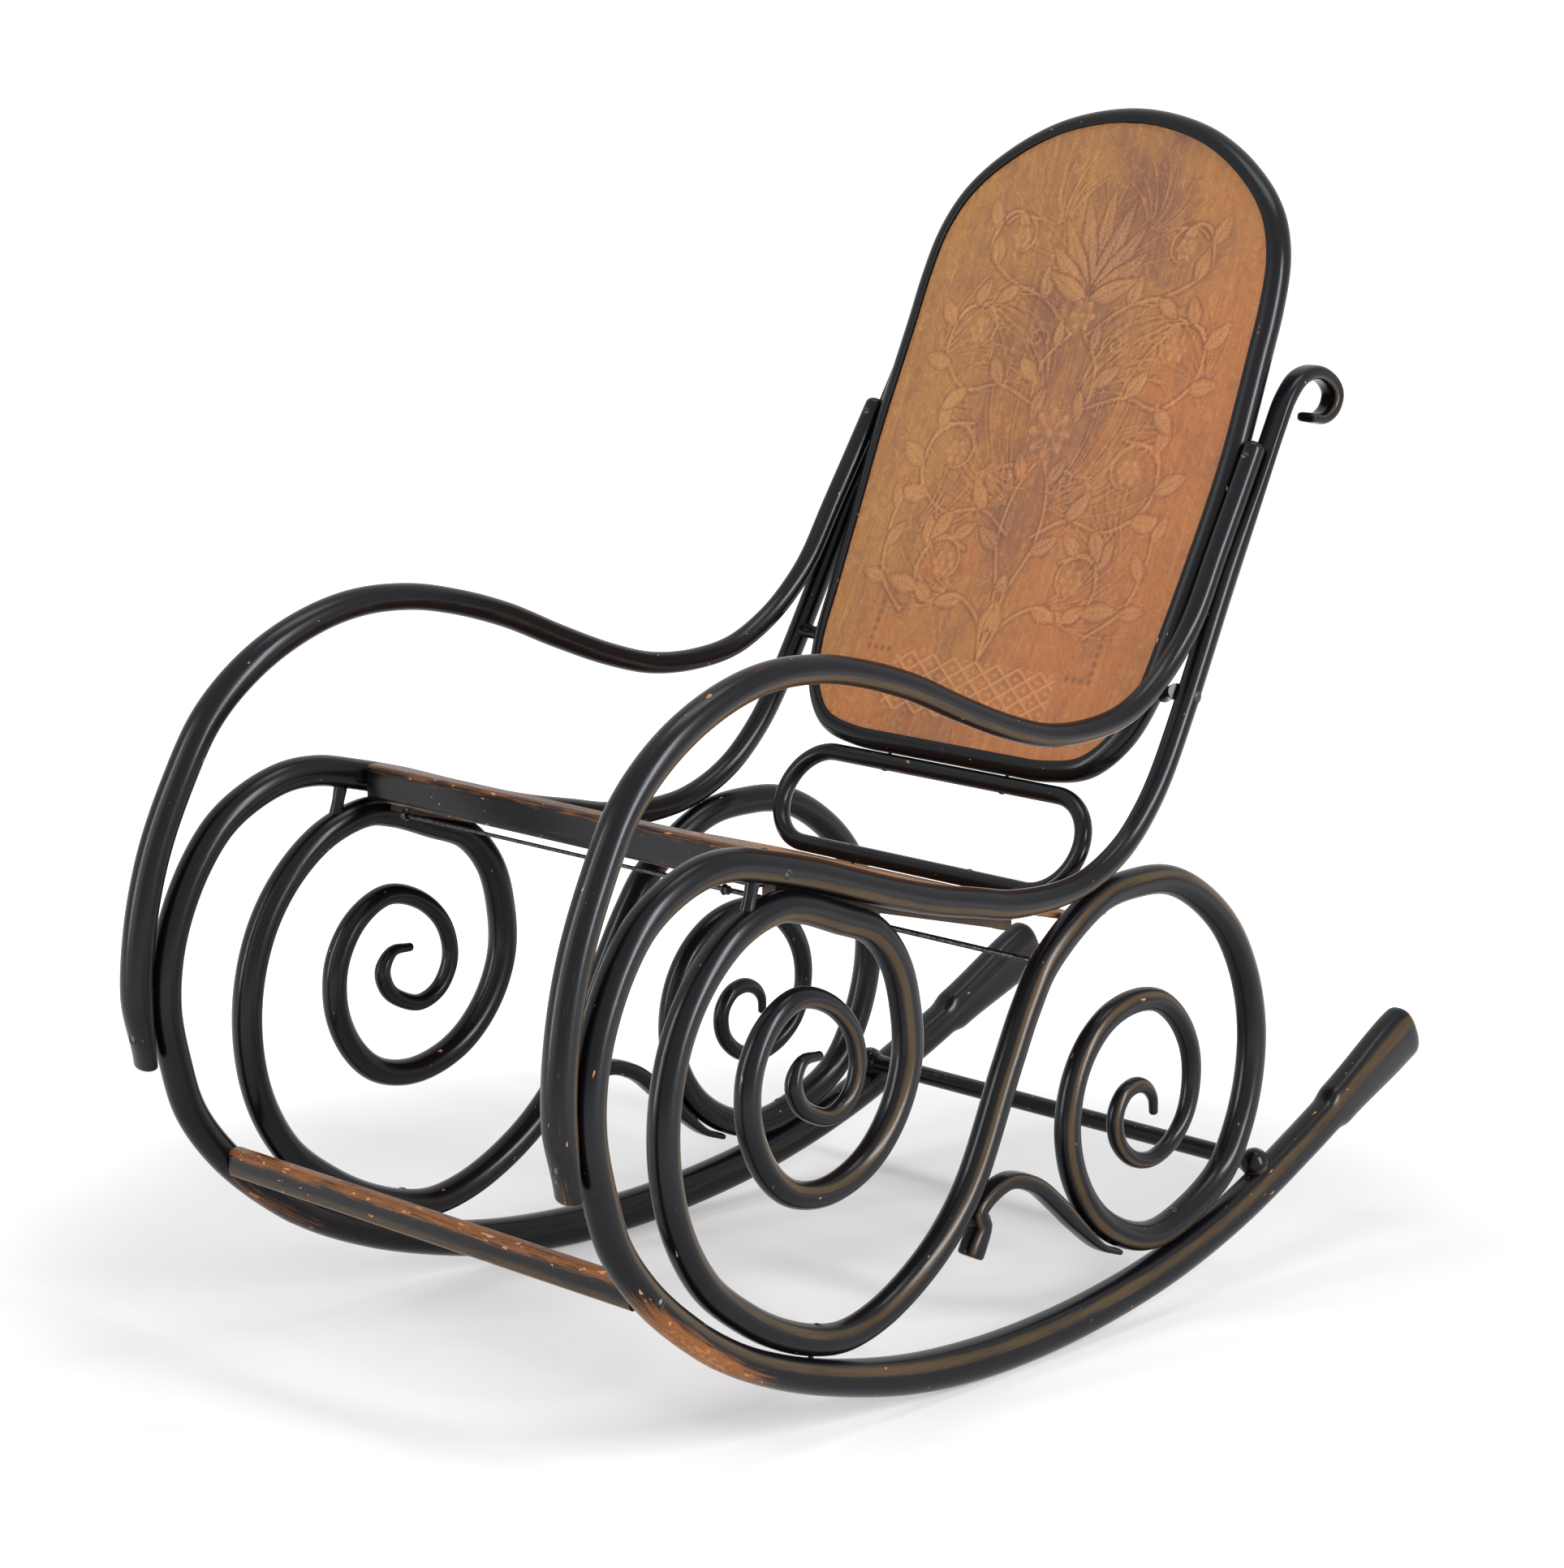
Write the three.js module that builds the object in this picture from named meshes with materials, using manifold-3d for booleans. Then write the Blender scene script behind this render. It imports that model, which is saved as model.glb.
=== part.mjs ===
// Bentwood rocking chair: two bent side frames with double scrolls, spliced runners, armrests,
// a hoop back with a panel, a lumbar loop, and the rails, seat and screws that join them.
// Millimetres, +Z up, the sitter looks along -Y and the sitter's left side is at +X.
// The origin is on the floor under the middle of the chair.
import * as THREE from 'three';
import { mergeVertices } from 'three/addons/utils/BufferGeometryUtils.js';
import Module from 'manifold-3d';

const wasm = await Module();
wasm.setup();

// Whole chair
const sideDepth = 1058;         // front of the side rod to the runner's rear end
const sideHeight = 815;         // floor level of the outline to the top of the finial
const sideFront = -518;         // where the side rod's front curve stands
const halfSpan = 252.5;         // centre plane of a side frame from the middle, at the origin
const toeInShare = 0.0288;      // the side frames close towards the back
const leanShare = 0.022;        // and towards the top
const sideRodOut = 3;           // the side rod stands out a little from its scroll
const armOut = 2;
const jointGap = 0.8;           // between two rods that are screwed together
const fitGap = 0.35;            // between a shaped end, a groove or a hole and what sits in it

// How finely a bent rod is cut into rings
const rodSides = 8;
const longestStep = 50;
const shortestStep = 5;
const turnPerRing = THREE.MathUtils.degToRad(19);
const finePoints = 1400;
const halvings = 40;            // steps that find a place along a curve
const tipRoundShare = 0.62;     // the last ring of a rounded tip against the one before
const tipReachShare = 0.4;

// Side rod: finial, post, seat rail and front curve in one bent length, spliced to the runner
const spliceShare = 0.62;       // of the outline's length, just below the foot rail
const spliceSlope = 1;          // the splice's slant across the rod
const spliceClear = 30;         // no ring lies nearer to the splice
const finialTip = 9;
const finialThick = 13;
const finialWide = 21;
const postThick = 21;
const postFootThick = 26;
const railThick = 27;
const frontCurveThick = 28;
const runnerThick = 36;
const runnerWide = 32;
const runnerRearThick = 34;
const runnerPadThick = 43;
const runnerEndThick = 54;
const restHalf = 15;            // half of the flat on which a runner stands

// Scroll rod
const scrollTip = 8;
const curlThick = 15;
const innerRingThick = 22;
const scrollThick = 26.5;
const frontRingInset = 80;      // front curve to the front ring, centre to centre
const frontRingHalf = 148;
const frontRingCrown = 2;       // the ring's top above the place where it meets the rail
const frontRingHeight = 370;
const frontMeetY = -270;
const frontFootY = -281;
const spacerY = -331;           // a turned spacer fills the gap between ring and rail here
const frontTopSpanShares = [0.26, 0.37];
const rearRingShare = 0.6588;    // places along the side rod's depth
const rearMeetShare = 0.5671;
const rearFootShare = 0.6815;
const rearRingHalf = 129;
const rearRingHeight = 320;
const rearRingY = sideFront + rearRingShare * sideDepth;
const rearMeetY = sideFront + rearMeetShare * sideDepth;
const rearFootY = sideFront + rearFootShare * sideDepth;

// Armrest
const armTipThick = 15;
const armFrontThick = 28;
const armCrestThick = 23;
const armLowThick = 20;
const armTopThick = 19;
const armProud = 31;            // the arm's front stands out from the side rod's
const armRearReach = 30.5;      // its outline runs past the post's foot by this
const armMeetLow = 274;         // heights at which the arm lies on the side rod
const armMeetHigh = 320;
const armPostTop = 746;
const armTopMargin = 1;
const armPostMiddle = 700;
const armPostLow = 652;
const armScrewZ = 738;

// Hook under the rear scroll
const hookTipThick = 21;
const hookThick = 15.5;
const hookWide = 20;
const hookEndThick = 6;
const hookUnderThick = 12;
const hookTipY = rearRingY - 254;
const hookTipZ = 118;
const hookRiseY = rearRingY - 245;
const hookRiseZ = 136;
const hookTopY = rearRingY - 213;
const hookTopZ = 166;
const hookFallY = rearRingY - 177;
const hookFallZ = 156;
const hookRunY = rearRingY - 145;
const hookRunZ = 131;
const hookMeetZ = 161;          // height on the diagonal beside which the hook passes
const hookUnderFirstY = rearRingY - 103; // where it runs under the rear ring
const hookUnderMiddleY = rearRingY - 77;
const hookUnderLastY = rearRingY - 47;
const hookScrewY = rearRingY - 87;
const hookSeatShare = 0.35;     // of the hook's thickness, how deep its screw's head sits
const hookGripShare = 0.7;      // of the ring's thickness, how far that screw goes in

// Back hoop, panel and lumbar loop lie in one gently curved, leaning surface
const backForward = 137.7;      // the hoop's bottom rod, forward of the post at the upper screw
const backFootZ = 472;
const backLean = THREE.MathUtils.degToRad(28.4);
const backCurveRadius = 4000;
const backLength = 606;
const hoopThick = 25;
const panelThick = 4;
const panelLift = 7.5;          // the panel lies forward of the hoop's middle
const rabbetInset = 3.5;        // the hoop's front is cut away for the panel, inwards of here
const hoopTopShare = 0.006;     // of the hoop's length, clear of its top ring
const hoopSideShares = [0.13, 0.4];
const backScrewZ = 722;         // screws from the posts hold the hoop here
const backBoltZ = 549;
const loopScrewGripShare = 0.35; // of the hoop's thickness
const panelRowRiseShare = 0.12; // the panel's rows begin where the hoop rises this steeply
const loopScrewX = 72;
const loopThick = 16;
const loopHalfWidth = 181;
const loopRadius = 45;
const loopArcSteps = 8;

// Seat
const seatThick = 6;
const seatFrontZ = 475;
const seatFrontY = -299;
const seatCornerRadius = 82;
const seatRearMargin = 12;      // the seat runs past the lumbar loop's bottom
const seatSideGap = 1;
const seatCornerSteps = 6;
const cleatWide = 15;
const cleatHigh = 15;
const cleatRearY = -14;
const cleatFrontMargin = 6;
const frontRailY = -309;
const frontRailThick = 18;
const frontRailHigh = 31;
const frontRailZ = 480.5;
const rearRailHalf = 115;
const rearRailThick = 17;
const rearRailHigh = 24;
const footRailZ = 168;
const footRailHigh = 25;
const footRailThick = 16;
const footRailEdge = 5;         // rounding of the slats' long edges
const railScrewGrip = 24;
const cleatScrewYs = [-190, -70];
const cleatSeatShare = 0.25;    // of the cleat's width, from its middle to a screw's head

// Rear stretcher and tie rods
const stretcherDepthShare = 0.794;
const stretcherY = sideFront + stretcherDepthShare * sideDepth;
const stretcherThick = 17;
const stretcherBall = 27;
const ballSink = 9;             // how deep the ball sits in its seat on the runner
const ballSteps = 6;
const stretcherSides = 12;
const soleScrewSink = 5;
const soleScrewReach = 36;
const eyeX = 195;               // the front tie rod's eyelets, from the middle
const frontTieThick = 3.4;
const eyeRing = 9.6;
const eyeWire = 2.4;
const eyeShank = 16;
const eyeDrop = 4;              // between the front rail's underside and an eyelet
const eyeSides = 12;
const eyeWireSides = 6;
const rearTieZ = 345;
const rearTieThick = 5;
const tieTenon = 12;
const tieHead = 7.5;
const tieHeadLong = 4;

// Screws
const screwHead = 8.5;
const screwHeadHigh = 2.2;
const headEdgeShare = 0.35;     // of that height, the head's straight edge
const screwShank = 4.5;
const screwSink = 1.2;
const smallHead = 7;
const smallShank = 3.4;
const boltHead = 11;
const boltShank = 6;
const spacerThick = 12;
const backSpacerThick = 15;
const screwSides = 6;
const counterDeep = 9;
const toolOverrun = 2;

const blackWood = new THREE.MeshStandardMaterial({ color: 0x17181b, roughness: 0.3 });
const wornWood = new THREE.MeshStandardMaterial({ color: 0x4a2f1d, roughness: 0.5 });
const tanPly = new THREE.MeshStandardMaterial({ color: 0xb0703a, roughness: 0.55 });
const plainWood = new THREE.MeshStandardMaterial({ color: 0x5b4330, roughness: 0.7 });
const steel = new THREE.MeshStandardMaterial({ color: 0x3a3a3c, roughness: 0.4, metalness: 0.9 });

// Outlines, as shares of the depth and height that each follows
const sideRodShares = [
  [0.849, 0.952], [0.866, 0.949], [0.88, 0.958], [0.885, 0.974], [0.878, 0.988], [0.859, 1],
  [0.837, 0.996], [0.819, 0.976], [0.804, 0.945], [0.779, 0.887], [0.736, 0.787],
  [0.682, 0.656], [0.652, 0.591], [0.632, 0.559], [0.609, 0.532], [0.582, 0.512],
  [0.552, 0.499], [0.522, 0.494], [0.491, 0.494], [0.457, 0.498], [0.422, 0.508],
  [0.374, 0.522], [0.328, 0.539], [0.283, 0.558], [0.237, 0.578], [0.19, 0.595],
  [0.151, 0.606], [0.118, 0.605], [0.083, 0.59], [0.054, 0.566], [0.03, 0.528], [0.011, 0.479],
  [0.001, 0.431], [-0.001, 0.38], [0.007, 0.325], [0.021, 0.268], [0.05, 0.214], [0.09, 0.165],
  [0.14, 0.12], [0.2, 0.084], [0.266, 0.057], [0.341, 0.036], [0.419, 0.026], [0.499, 0.026],
  [0.582, 0.035], [0.668, 0.054], [0.756, 0.087], [0.847, 0.136], [0.926, 0.184],
  [0.986, 0.221],
];
const frontRingShares = [
  [0.2, 0.317], [0.068, 0.313], [-0.005, 0.229], [0.035, 0.128], [0.14, 0.066], [0.278, 0.035],
  [0.422, 0.086], [0.506, 0.22], [0.461, 0.391], [0.284, 0.535], [0.029, 0.595],
  [-0.202, 0.502], [-0.341, 0.32], [-0.353, 0.101], [-0.248, -0.104], [-0.068, -0.244],
  [0.172, -0.297], [0.411, -0.27], [0.628, -0.179], [0.814, -0.007], [0.909, 0.2],
  [0.901, 0.42], [0.818, 0.643], [0.636, 0.812], [0.362, 0.905],
];
const frontReturnShares = [
  [-0.119, 1.015], [-0.423, 0.945], [-0.685, 0.784], [-0.876, 0.562], [-0.982, 0.28],
  [-0.986, -0.02], [-0.895, -0.298], [-0.702, -0.551], [-0.41, -0.745], [-0.155, -0.8645],
];
const frontLeaveShares = [
  [0.365, -0.98], [0.639, -0.941], [0.94, -0.832], [1.211, -0.677], [1.44, -0.467],
];
const diagonalShares = [
  [-1.628, 0.163], [-1.418, 0.469], [-1.232, 0.669],
];
const rearRingShares = [
  [-0.273, 0.978], [0.08, 0.943], [0.422, 0.801], [0.727, 0.572], [0.924, 0.278],
  [1.001, -0.02], [0.969, -0.312], [0.843, -0.586], [0.638, -0.811],
];
const rearReturnShares = [
  [-0.158, -1.023], [-0.477, -0.941], [-0.752, -0.779], [-0.933, -0.555], [-1.004, -0.3],
  [-0.952, -0.052], [-0.807, 0.141], [-0.581, 0.274], [-0.3, 0.323], [-0.038, 0.287],
  [0.173, 0.155], [0.302, -0.03], [0.323, -0.222], [0.249, -0.41], [0.084, -0.539],
  [-0.129, -0.593], [-0.34, -0.545], [-0.48, -0.424], [-0.498, -0.28], [-0.41, -0.179],
  [-0.28, -0.15], [-0.164, -0.185], [-0.099, -0.252], [-0.09, -0.33],
];
const armShares = [
  [0.911, 0.827], [0.885, 0.793], [0.85, 0.76], [0.798, 0.73], [0.74, 0.72], [0.677, 0.724],
  [0.616, 0.743], [0.544, 0.775], [0.473, 0.81], [0.404, 0.835], [0.342, 0.849], [0.273, 0.85],
  [0.208, 0.833], [0.143, 0.797], [0.089, 0.744], [0.05, 0.671], [0.022, 0.599], [0.006, 0.53],
  [-0.001, 0.465],
];
const hoopShares = [
  [0, 0], [0.3, 0], [0.57, 0.002], [0.76, 0.018], [0.885, 0.065], [0.945, 0.13],
  [0.965, 0.22], [0.982, 0.33], [0.996, 0.43], [1, 0.5], [0.993, 0.58], [0.984, 0.66],
  [0.977, 0.729], [0.955, 0.79], [0.92, 0.828], [0.868, 0.862], [0.79, 0.894],
  [0.686, 0.924], [0.56, 0.952], [0.4, 0.977], [0.2, 0.994], [0, 1],
];

// How thick and wide each rod is along its length: share of the length, thickness, width
const sideRodSizes = [
  [0, finialTip, finialWide], [0.02, finialThick, finialWide],
  [0.075, finialThick, finialWide], [0.12, postThick, postThick],
  [0.24, postThick, postThick], [0.3, postFootThick, postFootThick],
  [0.38, railThick, railThick], [0.5, frontCurveThick, frontCurveThick],
  [0.63, frontCurveThick, frontCurveThick], [0.76, runnerThick, runnerWide],
  [0.9, runnerRearThick, runnerWide],
  [0.953, runnerRearThick, runnerWide], [0.96, runnerPadThick, runnerWide],
  [1, runnerEndThick, runnerWide],
];
const scrollSizes = [
  [0, scrollTip, scrollTip], [0.015, curlThick, curlThick], [0.05, curlThick, curlThick],
  [0.11, innerRingThick, innerRingThick], [0.22, scrollThick, scrollThick],
  [0.76, scrollThick, scrollThick], [0.87, innerRingThick, innerRingThick],
  [0.95, curlThick, curlThick], [0.985, curlThick, curlThick], [1, scrollTip, scrollTip],
];
const armSizes = [
  [0, armTopThick, armTopThick], [0.13, armTopThick, armTopThick],
  [0.25, armLowThick, armLowThick], [0.5, armCrestThick, armCrestThick],
  [0.72, armFrontThick, armFrontThick], [0.95, armFrontThick, armFrontThick],
  [1, armTipThick, armFrontThick],
];
const hookSizes = [
  [0, hookTipThick, hookWide], [0.12, hookThick, hookWide], [0.62, hookThick, hookWide],
  [1, hookEndThick, hookWide],
];

// Geometry helpers

// Half the distance across the corners of a section that is 1 across its flats.
const cornerReach = 1 / Math.cos(Math.PI / rodSides);

function bend(points) {
  const curve = new THREE.CatmullRomCurve3(points, false, 'centripetal');
  curve.arcLengthDivisions = finePoints;
  return curve;
}

function sidePoint(y, z) {
  return new THREE.Vector3(0, y, z);
}

function sizeAt(sizes, share) {
  let k = 1;
  while (k < sizes.length - 1 && sizes[k][0] < share) {
    k += 1;
  }
  const [from, thickA, wideA] = sizes[k - 1];
  const [to, thickB, wideB] = sizes[k];
  const t = THREE.MathUtils.clamp((share - from) / (to - from), 0, 1);
  const eased = THREE.MathUtils.smoothstep(t, 0, 1);
  return { thick: THREE.MathUtils.lerp(thickA, thickB, eased),
    wide: THREE.MathUtils.lerp(wideA, wideB, eased) };
}

// The normal in the side plane: forward of the post, above the rail, under the runner.
function outward(curve, share) {
  const t = curve.getTangentAt(share);
  return sidePoint(t.z, -t.y).normalize();
}

function beside(curve, share, distance) {
  return curve.getPointAt(share).addScaledVector(outward(curve, share), distance);
}

// The share of a curve's length at which measure reaches value, on a stretch where it is monotonic.
function shareWhere(curve, measure, value, from, to) {
  let low = from;
  let high = to;
  const rising = measure(curve.getPointAt(to)) > measure(curve.getPointAt(from));
  for (let k = 0; k < halvings; k += 1) {
    const middle = (low + high) / 2;
    if ((measure(curve.getPointAt(middle)) < value) === rising) {
      low = middle;
    } else {
      high = middle;
    }
  }
  return (low + high) / 2;
}

function sideX(point, side, out) {
  return side * (halfSpan + out - toeInShare * point.y - leanShare * point.z);
}

// A closed body through rings of points, all with the same count.
function skin(rings, closed = false) {
  const count = rings[0].length;
  const positions = [];
  rings.forEach((ring) => ring.forEach((p) => positions.push(p.x, p.y, p.z)));
  const index = [];
  const bands = closed ? rings.length : rings.length - 1;
  for (let i = 0; i < bands; i += 1) {
    const a = i * count;
    const b = ((i + 1) % rings.length) * count;
    for (let k = 0; k < count; k += 1) {
      const next = (k + 1) % count;
      index.push(a + k, a + next, b + k, a + next, b + next, b + k);
    }
  }
  if (!closed) {
    const last = (rings.length - 1) * count;
    for (let k = 1; k < count - 1; k += 1) {
      index.push(0, k + 1, k, last, last + k, last + k + 1);
    }
  }
  const geometry = new THREE.BufferGeometry();
  geometry.setAttribute('position', new THREE.Float32BufferAttribute(positions, 3));
  geometry.setIndex(index);
  return enclosed(geometry) < 0 ? turned(geometry) : geometry;
}

function enclosed(geometry) {
  const p = geometry.attributes.position;
  const index = geometry.index.array;
  const [a, b, c] = [new THREE.Vector3(), new THREE.Vector3(), new THREE.Vector3()];
  let volume = 0;
  for (let k = 0; k < index.length; k += 3) {
    a.fromBufferAttribute(p, index[k]);
    b.fromBufferAttribute(p, index[k + 1]);
    c.fromBufferAttribute(p, index[k + 2]);
    volume += a.dot(b.cross(c));
  }
  return volume;
}

function turned(geometry) {
  const index = geometry.index.array;
  for (let k = 0; k < index.length; k += 3) {
    [index[k + 1], index[k + 2]] = [index[k + 2], index[k + 1]];
  }
  return geometry;
}

// A round section as a ring of points with flats across the two axes.
function roundSection(centre, across, lift, wide, thick) {
  const ring = [];
  for (let k = 0; k < rodSides; k += 1) {
    const angle = ((k + 1 / 2) * 2 * Math.PI) / rodSides;
    ring.push(centre.clone()
      .addScaledVector(across, (wide / 2) * cornerReach * Math.cos(angle))
      .addScaledVector(lift, (thick / 2) * cornerReach * Math.sin(angle)));
  }
  return ring;
}

// Shares at which a rod gets a ring: closer together where it bends more.
function ringShares(curve, fixed) {
  const length = curve.getLength();
  const kept = [0];
  let turn = 0;
  let lastTangent = curve.getTangentAt(0);
  for (let k = 1; k < finePoints; k += 1) {
    const share = k / finePoints;
    const tangent = curve.getTangentAt(share);
    turn += lastTangent.angleTo(tangent);
    lastTangent = tangent;
    const step = (share - kept[kept.length - 1]) * length;
    if ((turn >= turnPerRing && step >= shortestStep) || step >= longestStep) {
      kept.push(share);
      turn = 0;
    }
  }
  const spare = shortestStep / length;
  const free = kept.filter((share) => share < 1 - spare
    && fixed.every((f) => Math.abs(f - share) > 2 * spare));
  return [...free, ...fixed, 1].sort((a, b) => a - b);
}

// A rod bent in its side plane, on the left (side 1) or the right (side -1). Where its span
// ends inside the curve, it ends in a slanting splice.
function sideRod(curve, sizes, side, out, grow, fixed, span) {
  const across = new THREE.Vector3(1, 0, 0);
  const place = (p) => new THREE.Vector3(sideX(p, side, out), p.y, p.z);
  const section = (share, slope) => {
    const { thick, wide } = sizeAt(sizes, share);
    const lift = outward(curve, share).addScaledVector(curve.getTangentAt(share), slope);
    return roundSection(place(curve.getPointAt(share)), across, lift,
      wide + 2 * grow, thick + 2 * grow);
  };
  const clear = spliceClear / curve.getLength();
  const rings = ringShares(curve, fixed).filter((share) => (
    (span[0] === 0 || share > span[0] + clear) && (span[1] === 1 || share < span[1] - clear)))
    .map((share) => section(share, 0));
  if (span[0] > 0) {
    rings.unshift(section(span[0], spliceSlope));
  }
  if (span[1] < 1) {
    rings.push(section(span[1], spliceSlope));
  }
  for (const share of span.filter((end) => end === 0 || end === 1)) {
    const { thick, wide } = sizeAt(sizes, share);
    const reach = (share === 0 ? -1 : 1) * (thick * tipReachShare + grow);
    const tip = curve.getPointAt(share).addScaledVector(curve.getTangentAt(share), reach);
    const ring = roundSection(place(tip), across, outward(curve, share),
      (wide + 2 * grow) * tipRoundShare, (thick + 2 * grow) * tipRoundShare);
    if (share === 0) {
      rings.unshift(ring);
    } else {
      rings.push(ring);
    }
  }
  return skin(rings);
}

function toSolid(geometry) {
  const plain = geometry.clone();
  plain.deleteAttribute('normal');
  plain.deleteAttribute('uv');
  const merged = mergeVertices(plain);
  return new wasm.Manifold(new wasm.Mesh({ numProp: 3,
    vertProperties: new Float32Array(merged.attributes.position.array),
    triVerts: new Uint32Array(merged.index.array) }));
}

function toGeometry(solid) {
  const mesh = solid.getMesh();
  const geometry = new THREE.BufferGeometry();
  geometry.setAttribute('position', new THREE.Float32BufferAttribute(mesh.vertProperties, 3));
  geometry.setIndex(new THREE.Uint32BufferAttribute(mesh.triVerts, 1));
  return geometry;
}

function turnTo(geometry, from, axis) {
  const turn = new THREE.Quaternion().setFromUnitVectors(new THREE.Vector3(0, 1, 0), axis);
  return geometry.applyQuaternion(turn).translate(from.x, from.y, from.z);
}

// A round bar from one point along an axis.
function bar(from, axis, length, diameter, sides = screwSides) {
  const round = new THREE.CylinderGeometry(diameter / 2, diameter / 2, length, sides);
  return turnTo(round.translate(0, length / 2, 0), from, axis);
}

// Pieces of the chair and the cuts that screws and tenons make in them
const pieces = new Map();

function addPiece(name, geometry, material) {
  pieces.set(name, { solid: toSolid(geometry), material });
}

function cut(name, tool) {
  const piece = pieces.get(name);
  piece.solid = piece.solid.subtract(tool);
}

// A screw whose head is sunk at seat, driven along axis through the named pieces.
function screw(name, seat, axis, length, through, head = screwHead, shank = screwShank) {
  const dome = screwHeadHigh;
  const profile = [
    [0, -dome], [head / 2, -dome * headEdgeShare], [head / 2, 0],
    [shank / 2, 0], [shank / 2, length], [0, length + shank / 2],
  ].map(([r, y]) => new THREE.Vector2(r, y));
  addPiece(name, turnTo(new THREE.LatheGeometry(profile, screwSides), seat, axis), steel);
  const deep = length + shank / 2 + toolOverrun;
  const hole = toSolid(bar(seat.clone().addScaledVector(axis, -toolOverrun), axis,
    deep + toolOverrun, shank + 2 * fitGap));
  const pocketFrom = seat.clone().addScaledVector(axis, fitGap - counterDeep);
  const pocket = toSolid(bar(pocketFrom, axis, counterDeep, head + 2 * fitGap));
  const tool = hole.add(pocket);
  through.forEach((target) => cut(target, tool));
}

// Curves of the side frame, in the side plane

const sideCurve = bend(sideRodShares.map(([u, v]) => (
  sidePoint(sideFront + u * sideDepth, v * sideHeight))));

const postSpanShares = [0.07, 0.2];   // of the side rod's length, stretch by stretch
const railSpanShares = [0.2, 0.43];
const frontSpanShares = [0.48, 0.61];
const runnerSpanShares = [0.62, 1];
const depthOf = (p) => p.y;
const heightOf = (p) => p.z;
const onPost = (z) => shareWhere(sideCurve, heightOf, z, ...postSpanShares);
const onRail = (y) => shareWhere(sideCurve, depthOf, y, ...railSpanShares);
const onFront = (z) => shareWhere(sideCurve, heightOf, z, ...frontSpanShares);
const onRunner = (y) => shareWhere(sideCurve, depthOf, y, ...runnerSpanShares);
const halfThick = (sizes, share) => sizeAt(sizes, share).thick / 2;

// A point beside the side rod at which another rod of the given thickness touches it.
function touching(share, thick, sign) {
  const distance = halfThick(sideRodSizes, share) + thick / 2 + jointGap;
  return beside(sideCurve, share, sign * distance);
}

const frontTop = touching(onRail(frontMeetY), scrollThick, -1);
const frontFoot = touching(onRunner(frontFootY), scrollThick, -1);
const rearFoot = touching(onRunner(rearFootY), scrollThick, -1);
const rearMeet = touching(onRail(rearMeetY), scrollThick, -1);

const frontRingY = sideFront + frontRingInset + frontRingHalf;
const frontRingTopZ = frontTop.z + frontRingCrown;
const frontRingHalfHigh = frontRingHeight / 2;
const frontRingZ = frontRingTopZ - frontRingHalfHigh;
const rearRingHalfHigh = rearRingHeight / 2;
const rearRingZ = rearFoot.z + rearRingHalfHigh;

const onFrontRing = ([u, v]) => (
  sidePoint(frontRingY + u * frontRingHalf, frontRingZ + v * frontRingHalfHigh));
const onRearRing = ([u, v]) => (
  sidePoint(rearRingY + u * rearRingHalf, rearRingZ + v * rearRingHalfHigh));

const scrollCurve = bend([
  ...frontRingShares.map(onFrontRing), frontTop,
  ...frontReturnShares.map(onFrontRing), frontFoot,
  ...frontLeaveShares.map(onFrontRing),
  ...diagonalShares.map(onRearRing), rearMeet,
  ...rearRingShares.map(onRearRing), rearFoot,
  ...rearReturnShares.map(onRearRing),
]);

const armFrontY = sideFront - armProud;
const armDepth = sideCurve.getPointAt(onPost(armPostLow)).y + armRearReach - armFrontY;
const armHeight = armPostTop + armTopMargin;
const armCurve = bend([
  touching(onPost(armPostTop), armTopThick, 1),
  touching(onPost(armPostMiddle), armTopThick, 1),
  touching(onPost(armPostLow), armTopThick, 1),
  ...armShares.map(([u, v]) => sidePoint(armFrontY + u * armDepth, v * armHeight)),
  touching(onFront(armMeetHigh), armFrontThick, 1),
  touching(onFront(armMeetLow), armFrontThick, 1),
]);

const diagonalSpanShares = [0.49, 0.6];
const rearUnderSpanShares = [0.79, 0.86];
const onDiagonal = (z) => shareWhere(scrollCurve, heightOf, z, ...diagonalSpanShares);

// The hook leaves the diagonal, drops and runs out to a thin end under the rear ring.
const hookBesideDiagonal = beside(scrollCurve, onDiagonal(hookMeetZ),
  scrollThick / 2 + hookThick / 2 + jointGap);
const hookUnder = [
  [hookUnderFirstY, hookThick], [hookUnderMiddleY, hookUnderThick],
  [hookUnderLastY, hookEndThick],
].map(([y, thick]) => {
  const share = shareWhere(scrollCurve, depthOf, y, ...rearUnderSpanShares);
  return beside(scrollCurve, share,
    -(halfThick(scrollSizes, share) + thick / 2 + jointGap));
});
const hookCurve = bend([
  sidePoint(hookTipY, hookTipZ), sidePoint(hookRiseY, hookRiseZ), hookBesideDiagonal,
  sidePoint(hookTopY, hookTopZ), sidePoint(hookFallY, hookFallZ),
  sidePoint(hookRunY, hookRunZ), ...hookUnder,
]);

// The leaning surface of the back: x across, s up along it, lift forward of it
const backTouch = sideCurve.getPointAt(onPost(backScrewZ));
const backFootY = backTouch.y - backForward;

function backFrame(s) {
  const angle = backLean - s / backCurveRadius;
  return { up: new THREE.Vector3(0, Math.sin(angle), Math.cos(angle)),
    front: new THREE.Vector3(0, -Math.cos(angle), Math.sin(angle)), angle };
}

function backPoint(x, s, lift = 0) {
  const { front, angle } = backFrame(s);
  const y = backFootY + backCurveRadius * (Math.cos(angle) - Math.cos(backLean));
  const z = backFootZ + backCurveRadius * (Math.sin(backLean) - Math.sin(angle));
  return new THREE.Vector3(x, y, z).addScaledVector(front, lift);
}

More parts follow.
